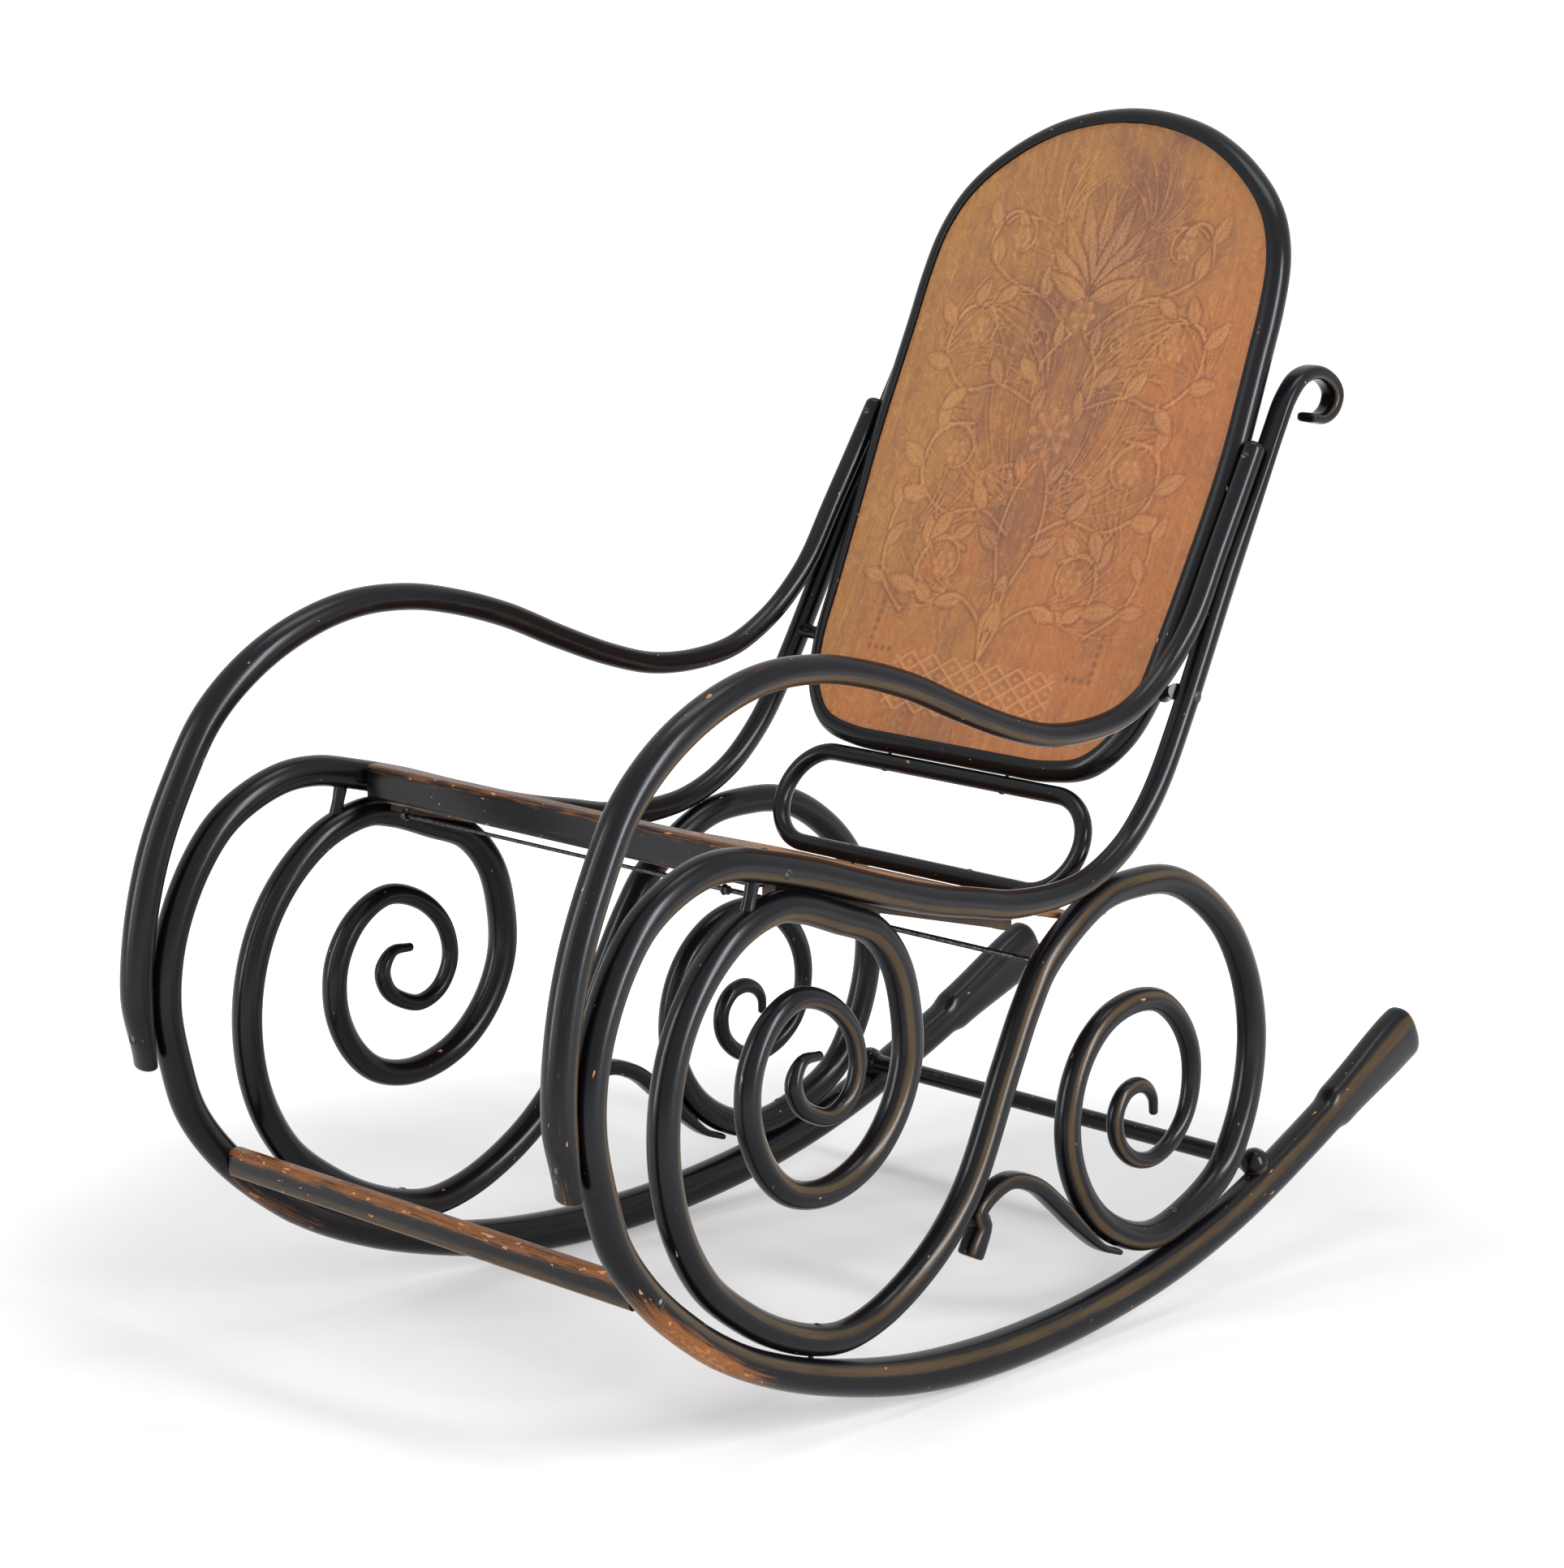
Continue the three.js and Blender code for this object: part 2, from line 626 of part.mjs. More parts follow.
// The hoop is as wide as the space between the two posts.
const hoopHalfWidth = sideX(backTouch, 1, sideRodOut) - postThick / 2 - hoopThick / 2 - jointGap;
const hoopRight = hoopShares.map(([u, v]) => (
  new THREE.Vector3(u * hoopHalfWidth, v * backLength, 0)));
const hoopLeft = hoopRight.slice(1, -1).reverse().map((p) => new THREE.Vector3(-p.x, p.y, 0));
const hoopCurve = new THREE.CatmullRomCurve3([...hoopRight, ...hoopLeft], true, 'centripetal');
hoopCurve.arcLengthDivisions = finePoints;
const hoopHalfShares = ringShares(hoopCurve, []).filter((share) => share < 1 / 2 - hoopTopShare);
const hoopRingShares = [...hoopHalfShares, 1 / 2,
  ...hoopHalfShares.slice(1).reverse().map((share) => 1 - share)];

// The hoop's section, whole or with its front cut away inside to seat the panel
function hoopRing(share, grow, rabbeted) {
  const centre = hoopCurve.getPointAt(share);
  const t = hoopCurve.getTangentAt(share);
  const { up, front } = backFrame(centre.y);
  const out = new THREE.Vector3(t.y, 0, 0).addScaledVector(up, -t.x);
  const at = (a, b) => backPoint(centre.x, centre.y).addScaledVector(out, a).addScaledVector(front, b);
  const half = hoopThick / 2 + grow;
  const ring = [];
  for (let k = 0; k < rodSides; k += 1) {
    const angle = ((k + 1 / 2) * 2 * Math.PI) / rodSides;
    ring.push([half * cornerReach * Math.cos(angle), half * cornerReach * Math.sin(angle)]);
  }
  if (rabbeted) {
    const floor = panelLift - panelThick / 2 - fitGap;
    ring.splice(rodSides / 4, rodSides / 4, [-rabbetInset, half], [-rabbetInset, floor],
      [-half, floor]);
  }
  return ring.map(([a, b]) => at(a, b));
}

// The panel's edge lies in the hoop's rabbet; its rows run straight across the chair.
function panelRows() {
  const inset = rabbetInset + fitGap;
  return hoopHalfShares.map((share) => {
    const centre = hoopCurve.getPointAt(share);
    const t = hoopCurve.getTangentAt(share);
    return { x: centre.x - t.y * inset, s: centre.y + t.x * inset, rise: t.y };
  }).filter(({ rise }) => rise > panelRowRiseShare).map(({ x, s }) => [
    backPoint(x, s, panelLift + panelThick / 2), backPoint(-x, s, panelLift + panelThick / 2),
    backPoint(-x, s, panelLift - panelThick / 2), backPoint(x, s, panelLift - panelThick / 2),
  ]);
}

// The lumbar loop hangs under the hoop: two straight rods joined by half circles
const loopTopS = -(hoopThick / 2 + loopThick / 2 + jointGap);
const loopMiddleS = loopTopS - loopRadius;
const loopBottomS = loopTopS - 2 * loopRadius;
const loopStraight = loopHalfWidth - loopRadius;

function loopRings() {
  const rings = [];
  for (const end of [1, -1]) {
    for (let k = 0; k <= loopArcSteps; k += 1) {
      const angle = -Math.PI / 2 + (k * Math.PI) / loopArcSteps;
      const s = loopMiddleS + end * loopRadius * Math.sin(angle);
      const x = end * (loopStraight + loopRadius * Math.cos(angle));
      const { up, front } = backFrame(s);
      const out = new THREE.Vector3(end * Math.cos(angle), 0, 0)
        .addScaledVector(up, end * Math.sin(angle));
      rings.push(roundSection(backPoint(x, s), out, front, loopThick, loopThick));
    }
  }
  return rings;
}

// The seat's top passes from the front rail down to the lumbar loop's bottom rod
const loopBottom = backPoint(0, loopBottomS);
const loopUnder = loopBottom.clone();
loopUnder.z -= (loopThick / 2) * cornerReach + jointGap;
const seatSlope = (seatFrontZ - loopUnder.z) / (loopUnder.y - seatFrontY);
const seatRearY = loopUnder.y + seatRearMargin;
const seatTop = (y) => seatFrontZ - (y - seatFrontY) * seatSlope;
const seatUnder = (y) => seatTop(y) - seatThick;

function seatEdgeX(y) {
  return sideX(sidePoint(y, seatTop(y)), 1, 0) - railThick / 2 - seatSideGap;
}

function seatOutline() {
  const points = [[seatEdgeX(seatFrontY), seatFrontY]];
  const cornerY = seatRearY - seatCornerRadius;
  for (let k = 0; k <= seatCornerSteps; k += 1) {
    const angle = (k * Math.PI) / 2 / seatCornerSteps;
    points.push([seatEdgeX(cornerY) - seatCornerRadius * (1 - Math.cos(angle)),
      cornerY + seatCornerRadius * Math.sin(angle)]);
  }
  return [...points, ...points.slice().reverse().map(([x, y]) => [-x, y])];
}

function seatPanel() {
  const outline = seatOutline();
  return skin([outline.map(([x, y]) => new THREE.Vector3(x, y, seatUnder(y))),
    outline.map(([x, y]) => new THREE.Vector3(x, y, seatTop(y)))]);
}

// A rail between the two side rods; its ends follow their inner faces.
function crossRail(corners, out, wide) {
  const end = (side) => corners.map(([y, z]) => {
    const p = sidePoint(y, z);
    return new THREE.Vector3(side * (sideX(p, 1, out) - wide / 2 - jointGap), y, z);
  });
  return skin([end(-1), end(1)]);
}

// A board's section with its four long edges taken off
function easedSection(y, z, thick, high, edge) {
  const [a, b] = [thick / 2, high / 2];
  return [[a, b - edge], [a - edge, b], [edge - a, b], [-a, b - edge], [-a, edge - b],
    [edge - a, -b], [a - edge, -b], [a, edge - b]].map(([dy, dz]) => [y + dy, z + dz]);
}

function cleat(side) {
  const end = (y) => {
    const top = seatUnder(y) - fitGap;
    const outer = sideX(sidePoint(y, top), side, 0) - side * (railThick / 2 + seatSideGap);
    return [[outer, top], [outer - side * cleatWide, top],
      [outer - side * cleatWide, top - cleatHigh], [outer, top - cleatHigh]]
      .map(([x, z]) => new THREE.Vector3(x, y, z));
  };
  return skin([end(seatFrontY + cleatFrontMargin), end(cleatRearY)]);
}

function rearRail() {
  const [front, back] = [loopBottom.y - rearRailThick / 2, loopBottom.y + rearRailThick / 2];
  const top = (y) => seatUnder(y) - fitGap;
  const end = (x) => [[front, top(front)], [back, top(back)],
    [back, top(back) - rearRailHigh], [front, top(front) - rearRailHigh]]
    .map(([y, z]) => new THREE.Vector3(x, y, z));
  return skin([end(-rearRailHalf), end(rearRailHalf)]);
}

// The rear stretcher: a turned rod with a ball at each end, over the runners
const stretcherShare = onRunner(stretcherY);
const ballCentre = beside(sideCurve, stretcherShare,
  -(halfThick(sideRodSizes, stretcherShare) + stretcherBall / 2 - ballSink));

function stretcher(grow) {
  const reach = sideX(ballCentre, 1, 0);
  const ball = stretcherBall / 2 + grow;
  const rod = stretcherThick / 2 + grow;
  const neck = Math.asin(rod / ball);
  const end = [];
  for (let k = 0; k <= ballSteps; k += 1) {
    const angle = neck + ((Math.PI - neck) * k) / ballSteps;
    end.push(new THREE.Vector2(ball * Math.sin(angle), reach - ball * Math.cos(angle)));
  }
  end[end.length - 1].x = 0;
  const start = end.slice().reverse().map((p) => new THREE.Vector2(p.x, -p.y));
  return turnTo(new THREE.LatheGeometry([...start, ...end], stretcherSides),
    sidePoint(ballCentre.y, ballCentre.z), new THREE.Vector3(1, 0, 0));
}

// Front tie rod, held in two eyelets under the seat's front rail
const tieRodPoint = sidePoint(frontRailY,
  frontRailZ - frontRailHigh / 2 - eyeRing / 2 - eyeDrop);

function eyelet(side) {
  const centre = new THREE.Vector3(side * eyeX, tieRodPoint.y, tieRodPoint.z);
  const ring = new THREE.TorusGeometry((eyeRing - eyeWire) / 2, eyeWire / 2, eyeWireSides,
    eyeSides).rotateY(Math.PI / 2).translate(centre.x, centre.y, centre.z);
  const up = new THREE.Vector3(0, 0, 1);
  const foot = centre.clone().addScaledVector(up, (eyeRing - eyeWire) / 2);
  const shank = bar(foot, up, eyeShank, eyeWire);
  return { solid: toSolid(ring).add(toSolid(shank)),
    hole: toSolid(bar(foot, up, eyeShank + toolOverrun, eyeWire + 2 * fitGap)) };
}

function frontTie() {
  const inner = eyeX + eyeWire / 2 + fitGap;
  const [rod, head] = [frontTieThick / 2, tieHead / 2];
  const half = [[rod, inner], [head, inner], [head, inner + tieHeadLong], [0, inner + tieHeadLong]];
  const points = [...half.slice().reverse().map(([r, y]) => [r, -y]), ...half]
    .map(([r, y]) => new THREE.Vector2(r, y));
  return turnTo(new THREE.LatheGeometry(points, screwSides),
    sidePoint(tieRodPoint.y, tieRodPoint.z), new THREE.Vector3(1, 0, 0));
}

// Frames, rods and boards

// The runner's flat on the floor lies about its lowest point.
const soleAt = (share) => beside(sideCurve, share, halfThick(sideRodSizes, share));
let restShare = runnerSpanShares[0];
for (let share = restShare; share < 1; share += 1 / finePoints) {
  if (soleAt(share).z < soleAt(restShare).z) {
    restShare = share;
  }
}
const restStep = restHalf / sideCurve.getLength();
const restShares = [restShare - restStep, restShare + restStep];

const hands = [['left', 1], ['right', -1]];
const grown = new Map();
const halfSplice = fitGap / sideCurve.getLength();
const whole = [0, 1];
for (const [hand, side] of hands) {
  const rods = [
    ['side_rod', sideCurve, sideRodSizes, sideRodOut, [], [0, spliceShare - halfSplice]],
    ['runner', sideCurve, sideRodSizes, sideRodOut, restShares, [spliceShare + halfSplice, 1]],
    ['scroll_rod', scrollCurve, scrollSizes, 0, [], whole],
    ['armrest', armCurve, armSizes, armOut, [], whole],
    ['runner_hook', hookCurve, hookSizes, 0, [], whole],
  ];
  for (const [name, curve, sizes, out, fixed, span] of rods) {
    addPiece(`${name}_${hand}`, sideRod(curve, sizes, side, out, 0, fixed, span), blackWood);
    grown.set(`${name}_${hand}`, toSolid(sideRod(curve, sizes, side, out, fitGap, fixed, span)));
  }
}
addPiece('back_hoop', skin(hoopRingShares.map((share) => hoopRing(share, 0, true)), true),
  blackWood);
grown.set('back_hoop', toSolid(
  skin(hoopRingShares.map((share) => hoopRing(share, fitGap, false)), true)));
addPiece('back_panel', skin(panelRows()), tanPly);
addPiece('lumbar_loop', skin(loopRings(), true), blackWood);
addPiece('seat_panel', seatPanel(), tanPly);
addPiece('seat_front_rail', crossRail(
  easedSection(frontRailY, frontRailZ, frontRailThick, frontRailHigh, footRailEdge),
  0, railThick), wornWood);
addPiece('seat_rear_rail', rearRail(), plainWood);
const footPoint = sideCurve.getPointAt(onFront(footRailZ));
const footWide = sizeAt(sideRodSizes, onFront(footRailZ)).wide;
addPiece('foot_rail', crossRail(
  easedSection(footPoint.y, footPoint.z, footRailThick, footRailHigh, footRailEdge),
  sideRodOut, footWide), wornWood);
addPiece('rear_stretcher', stretcher(0), blackWood);
addPiece('front_tie_rod', frontTie(), steel);

const rearTieShare = onDiagonal(rearTieZ);
const rearTiePoint = scrollCurve.getPointAt(rearTieShare);
const rearTieReach = sideX(rearTiePoint, 1, 0) - scrollThick / 2 + tieTenon;
const across = new THREE.Vector3(1, 0, 0);
const rearTieFrom = new THREE.Vector3(-rearTieReach, rearTiePoint.y, rearTiePoint.z);
addPiece('rear_tie_rod', bar(rearTieFrom, across, 2 * rearTieReach, rearTieThick), steel);

// Screws and the small pieces of each side

for (const [hand, side] of hands) {
  const rod = `side_rod_${hand}`;
  const runner = `runner_${hand}`;
  const scroll = `scroll_rod_${hand}`;
  const arm = `armrest_${hand}`;
  const hook = `runner_hook_${hand}`;
  const place = (p, out) => new THREE.Vector3(sideX(p, side, out), p.y, p.z);
  const inwards = new THREE.Vector3(-side, 0, 0);

  addPiece(`seat_cleat_${hand}`, cleat(side), plainWood);

  // Through a rod that lies on the side rod, into the side rod
  const joinRods = (name, share, thick, sign, through) => {
    const half = halfThick(sideRodSizes, share);
    const seat = beside(sideCurve, share, sign * (half + jointGap + thick - screwSink));
    screw(`${name}_${hand}`, place(seat, sideRodOut / 2),
      outward(sideCurve, share).multiplyScalar(-sign), thick + half, through);
  };
  joinRods('ring_foot_screw', onRunner(frontFootY), scrollThick, -1, [scroll, runner]);
  joinRods('rear_ring_top_screw', onRail(rearMeetY), scrollThick, -1,
    [scroll, rod]);
  joinRods('rear_ring_foot_screw', onRunner(rearFootY), scrollThick, -1, [scroll, runner]);
  joinRods('arm_lower_screw', onFront((armMeetLow + armMeetHigh) / 2), armFrontThick, 1,
    [arm, rod]);
  joinRods('arm_upper_screw', onPost(armScrewZ), armTopThick, 1, [arm, rod]);

  // Front ring to rail, with a turned spacer between them
  const spacerShare = onRail(spacerY);
  const railPoint = sideCurve.getPointAt(spacerShare);
  const railTangent = sideCurve.getTangentAt(spacerShare);
  const down = outward(sideCurve, spacerShare).negate();
  const ringShare = shareWhere(scrollCurve, (q) => q.clone().sub(railPoint).dot(railTangent), 0,
    ...frontTopSpanShares);
  const ringPoint = scrollCurve.getPointAt(ringShare);
  const spacerReach = ringPoint.distanceTo(railPoint);
  const spacer = toSolid(bar(place(railPoint, sideRodOut / 2), down, spacerReach, spacerThick));
  pieces.set(`ring_spacer_${hand}`, { solid: spacer.subtract(grown.get(rod))
    .subtract(grown.get(scroll)), material: blackWood });
  const spacerSeat = ringPoint.clone().addScaledVector(down, scrollThick / 2 - screwSink);
  screw(`ring_top_screw_${hand}`, place(spacerSeat, sideRodOut / 2), down.clone().negate(),
    spacerReach + scrollThick / 2, [scroll, `ring_spacer_${hand}`, rod]);

  // Hook to rear ring, from below
  const hookShare = shareWhere(scrollCurve, depthOf, hookScrewY, ...rearUnderSpanShares);
  const upIntoRing = outward(scrollCurve, hookShare);
  const hookSeat = beside(scrollCurve, hookShare,
    -(scrollThick / 2 + jointGap + hookThick * hookSeatShare));
  screw(`hook_screw_${hand}`, place(hookSeat, 0), upIntoRing, scrollThick * hookGripShare,
    [hook, scroll], smallHead, smallShank);

  // Post to hoop: a screw above, and a bolt through a turned spacer below
  const postToHoop = (z) => {
    const share = shareWhere(hoopCurve, (q) => backPoint(0, q.y).z, z, ...hoopSideShares);
    const onHoop = hoopCurve.getPointAt(share);
    const hoopPoint = backPoint(side * onHoop.x, onHoop.y);
    const postShare = onPost(hoopPoint.z);
    const postPoint = place(sideCurve.getPointAt(postShare), sideRodOut);
    const axis = hoopPoint.clone().sub(postPoint);
    const reach = axis.length();
    const sink = halfThick(sideRodSizes, postShare) - screwSink;
    axis.normalize();
    return { axis, reach, postPoint, seat: postPoint.clone().addScaledVector(axis, -sink),
      length: reach + sink };
  };
  const upper = postToHoop(backScrewZ);
  screw(`back_upper_screw_${hand}`, upper.seat, upper.axis, upper.length, [rod, 'back_hoop'],
    smallHead, smallShank);
  const lower = postToHoop(backBoltZ);
  const backSpacer = toSolid(bar(lower.postPoint, lower.axis, lower.reach, backSpacerThick));
  pieces.set(`back_spacer_${hand}`, { solid: backSpacer.subtract(grown.get(rod))
    .subtract(grown.get('back_hoop')), material: blackWood });
  screw(`back_lower_bolt_${hand}`, lower.seat, lower.axis, lower.length,
    [rod, `back_spacer_${hand}`, 'back_hoop'], boltHead, boltShank);

  // Side rod to the ends of the two front rails
  const intoRail = (name, p, target) => {
    const wide = sizeAt(sideRodSizes, name === 'foot_rail_screw' ? onFront(p.z) : onRail(p.y)).wide;
    const seat = place(p, sideRodOut).addScaledVector(inwards, screwSink - wide / 2);
    screw(`${name}_${hand}`, seat, inwards, wide + railScrewGrip, [rod, target]);
  };
  intoRail('foot_rail_screw', footPoint, 'foot_rail');
  intoRail('front_rail_screw', sidePoint(frontRailY, frontRailZ), 'seat_front_rail');

  // Cleat to side rod, slanting up
  cleatScrewYs.forEach((y, k) => {
    const railCentre = place(sideCurve.getPointAt(onRail(y)), sideRodOut);
    const cleatX = sideX(sidePoint(y, seatUnder(y)), side, 0)
      - side * (railThick / 2 + seatSideGap + cleatWide / 2);
    const cleatCentre = new THREE.Vector3(cleatX, y, seatUnder(y) - fitGap - cleatHigh / 2);
    const slant = railCentre.clone().sub(cleatCentre);
    const reach = slant.length();
    screw(`cleat_screw_${hand}_${k + 1}`, cleatCentre.addScaledVector(slant.normalize(),
      -cleatWide * cleatSeatShare), slant, reach + cleatWide * cleatSeatShare, [`seat_cleat_${hand}`, rod],
    smallHead, smallShank);
  });

  // Lumbar loop to hoop above and to the seat's rear rail below
  const loopSeat = backPoint(side * loopScrewX, loopTopS - loopThick / 2 + screwSink);
  screw(`loop_top_screw_${hand}`, loopSeat, backFrame(loopTopS).up.clone(),
    loopThick + hoopThick * loopScrewGripShare, ['lumbar_loop', 'back_hoop'], smallHead, smallShank);
  const footSeat = new THREE.Vector3(side * loopScrewX, loopBottom.y,
    loopBottom.z + loopThick / 2 - screwSink);
  screw(`loop_foot_screw_${hand}`, footSeat, new THREE.Vector3(0, 0, -1),
    loopThick + seatThick + rearRailHigh / 2, ['lumbar_loop', 'seat_panel', 'seat_rear_rail'],
    smallHead, smallShank);

  // Runner up into the stretcher's ball
  const soleSeat = beside(sideCurve, stretcherShare,
    halfThick(sideRodSizes, stretcherShare) - soleScrewSink);
  screw(`stretcher_screw_${hand}`, place(soleSeat, 0),
    outward(sideCurve, stretcherShare).negate(), soleScrewReach, [runner, 'rear_stretcher']);
  cut(runner, toSolid(stretcher(fitGap)));

  // Eyelet for the front tie rod, and the blind hole for the rear one
  const eye = eyelet(side);
  pieces.set(`tie_eyelet_${hand}`, { solid: eye.solid, material: steel });
  cut('seat_front_rail', eye.hole);
  cut(scroll, toSolid(bar(new THREE.Vector3(0, rearTiePoint.y, rearTiePoint.z),
    inwards.clone().negate(), rearTieReach + fitGap, rearTieThick + 2 * fitGap)));
}

// The assembled chair, standing on the floor
const chair = new THREE.Group();
for (const [name, piece] of pieces) {
  const mesh = new THREE.Mesh(toGeometry(piece.solid), piece.material);
  mesh.name = name;
  chair.add(mesh);
}
const bounds = new THREE.Box3().setFromObject(chair);
chair.position.set(0, -(bounds.min.y + bounds.max.y) / 2, -bounds.min.z);
const group = new THREE.Group();
group.add(chair);

export default group;
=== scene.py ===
import bpy
import numpy as np
from mathutils import Matrix, Vector


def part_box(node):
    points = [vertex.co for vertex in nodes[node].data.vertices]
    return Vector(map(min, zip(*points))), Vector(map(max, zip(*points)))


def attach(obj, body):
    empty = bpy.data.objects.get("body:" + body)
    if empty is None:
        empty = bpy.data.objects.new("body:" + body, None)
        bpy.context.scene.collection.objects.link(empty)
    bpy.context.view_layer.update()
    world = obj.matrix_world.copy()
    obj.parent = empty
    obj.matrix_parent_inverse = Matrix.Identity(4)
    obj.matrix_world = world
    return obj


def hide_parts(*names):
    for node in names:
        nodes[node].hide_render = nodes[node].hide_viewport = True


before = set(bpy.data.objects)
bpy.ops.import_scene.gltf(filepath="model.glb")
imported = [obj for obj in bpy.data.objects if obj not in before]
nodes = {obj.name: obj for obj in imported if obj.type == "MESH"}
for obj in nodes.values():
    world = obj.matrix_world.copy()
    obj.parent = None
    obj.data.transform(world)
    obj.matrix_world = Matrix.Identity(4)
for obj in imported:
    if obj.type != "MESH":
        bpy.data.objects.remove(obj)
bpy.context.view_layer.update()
print("frame loaded:", len(nodes), "solids")

# The curves are drawn in the side plane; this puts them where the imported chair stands
standAt = np.array([0, 0.005508, -0.0023])
handSides = {"left": 1, "right": -1}

# Camera of the photograph
photoView = {
    "place": (2.54505, -2.58899, 1.22792),
    "right": (0.70710678, 0.70710678, 0.0),
    "up": (-0.14536796, 0.14536796, 0.97864003),
    "back": (0.692003, -0.692003, 0.20558134),
    "focalPixels": 5226.94, "imageHeight": 1932, "sensor": 36.0, "clip": (0.05, 60),
}


def setCamera(view):
    data = bpy.data.cameras.new("photoCamera")
    data.sensor_width = view["sensor"]
    data.lens = view["focalPixels"] / view["imageHeight"] * view["sensor"]
    data.clip_start, data.clip_end = view["clip"]
    camera = bpy.data.objects.new("photoCamera", data)
    bpy.context.scene.collection.objects.link(camera)
    turn = Matrix((view["right"], view["up"], view["back"])).transposed().to_4x4()
    camera.matrix_world = Matrix.Translation(view["place"]) @ turn
    bpy.context.scene.camera = camera


setCamera(photoView)
print("camera placed")

# Lines: a bent rod's middle line, measured along its length


# Each stretch is a cubic between two points, timed by the square roots of the chords
def bentLine(points, closed=False, samples=60):
    p = np.asarray(points, float)
    if closed:
        p = np.vstack([p[-1:], p, p[:2]])
    else:
        p = np.vstack([2 * p[:1] - p[1:2], p, 2 * p[-1:] - p[-2:-1]])
    a, b, c, d = p[:-3], p[1:-2], p[2:-1], p[3:]
    first, middle, last = (np.linalg.norm(q - o, axis=1)[:, None] ** 0.5
                           for o, q in ((a, b), (b, c), (c, d)))
    leave = ((b - a) / first - (c - a) / (first + middle) + (c - b) / middle) * middle
    arrive = ((c - b) / middle - (d - b) / (middle + last) + (d - c) / last) * middle
    t = np.linspace(0, 1, samples, endpoint=False)[None, :, None]
    b, c, leave, arrive = (v[:, None, :] for v in (b, c, leave, arrive))
    bent = (b + leave * t + (3 * (c - b) - 2 * leave - arrive) * t ** 2
            + (2 * (b - c) + leave + arrive) * t ** 3).reshape(-1, 3)
    bent = np.vstack([bent, p[1] if closed else p[-2]])
    steps = np.linalg.norm(np.diff(bent, axis=0), axis=1)
    run = np.concatenate([[0], np.cumsum(steps)])
    way = np.gradient(bent, run, axis=0)
    if closed:
        way[0] = way[-1] = way[0] + way[-1]
    return {"points": bent, "share": run / run[-1], "length": run[-1],
            "way": way / np.linalg.norm(way, axis=1)[:, None]}


# A point or the way of the line at a share of its length, between the nearest two samples
def at(line, share, key="points"):
    found = np.stack([np.interp(share, line["share"], line[key][:, k]) for k in range(3)], -1)
    if key == "way":
        found /= np.linalg.norm(found, axis=-1, keepdims=True)
    return found


# The normal in the side plane: forward of the post, above the rail, under the runner
def outward(line, share):
    way = at(line, share, "way")
    return np.stack([np.zeros_like(way[..., 0]), way[..., 2], -way[..., 1]], -1)


# The line's point, moved along its outward normal
def beside(line, share, distance):
    return at(line, share) + outward(line, share) * distance


# The share of the length at which one coordinate has a value, on a stretch where it only rises or falls
def shareWhere(line, axis, value, span):
    inside = (line["share"] >= span[0]) & (line["share"] <= span[1])
    measure, share = line["points"][inside, axis], line["share"][inside]
    order = np.argsort(measure)
    return float(np.interp(value, measure[order], share[order]))


# Sizes along a rod pass smoothly from one row of its table to the next
def sizesAt(table, share):
    table = np.asarray(table, float)
    k = np.clip(np.searchsorted(table[:, 0], share) - 1, 0, len(table) - 2)
    t = np.clip((share - table[k, 0]) / (table[k + 1, 0] - table[k, 0]), 0, 1)
    t = (t * t * (3 - 2 * t))[..., None]
    return table[k, 1:] * (1 - t) + table[k + 1, 1:] * t


def sidePoint(y, z):
    return np.array([0.0, y, z])


# Dimensions that several pieces share, in metres
chairSizes = {
    "halfSpan": 0.2525, "toeIn": 0.0288, "lean": 0.022, "rodOut": 0.003, "armOut": 0.002,
    "gap": 0.0008,
}


# Half of the width at a place of the side frame, which toes in to the rear and leans in to the top
def sideX(y, z, out=0.0):
    c = chairSizes
    return c["halfSpan"] + out - c["toeIn"] * y - c["lean"] * z


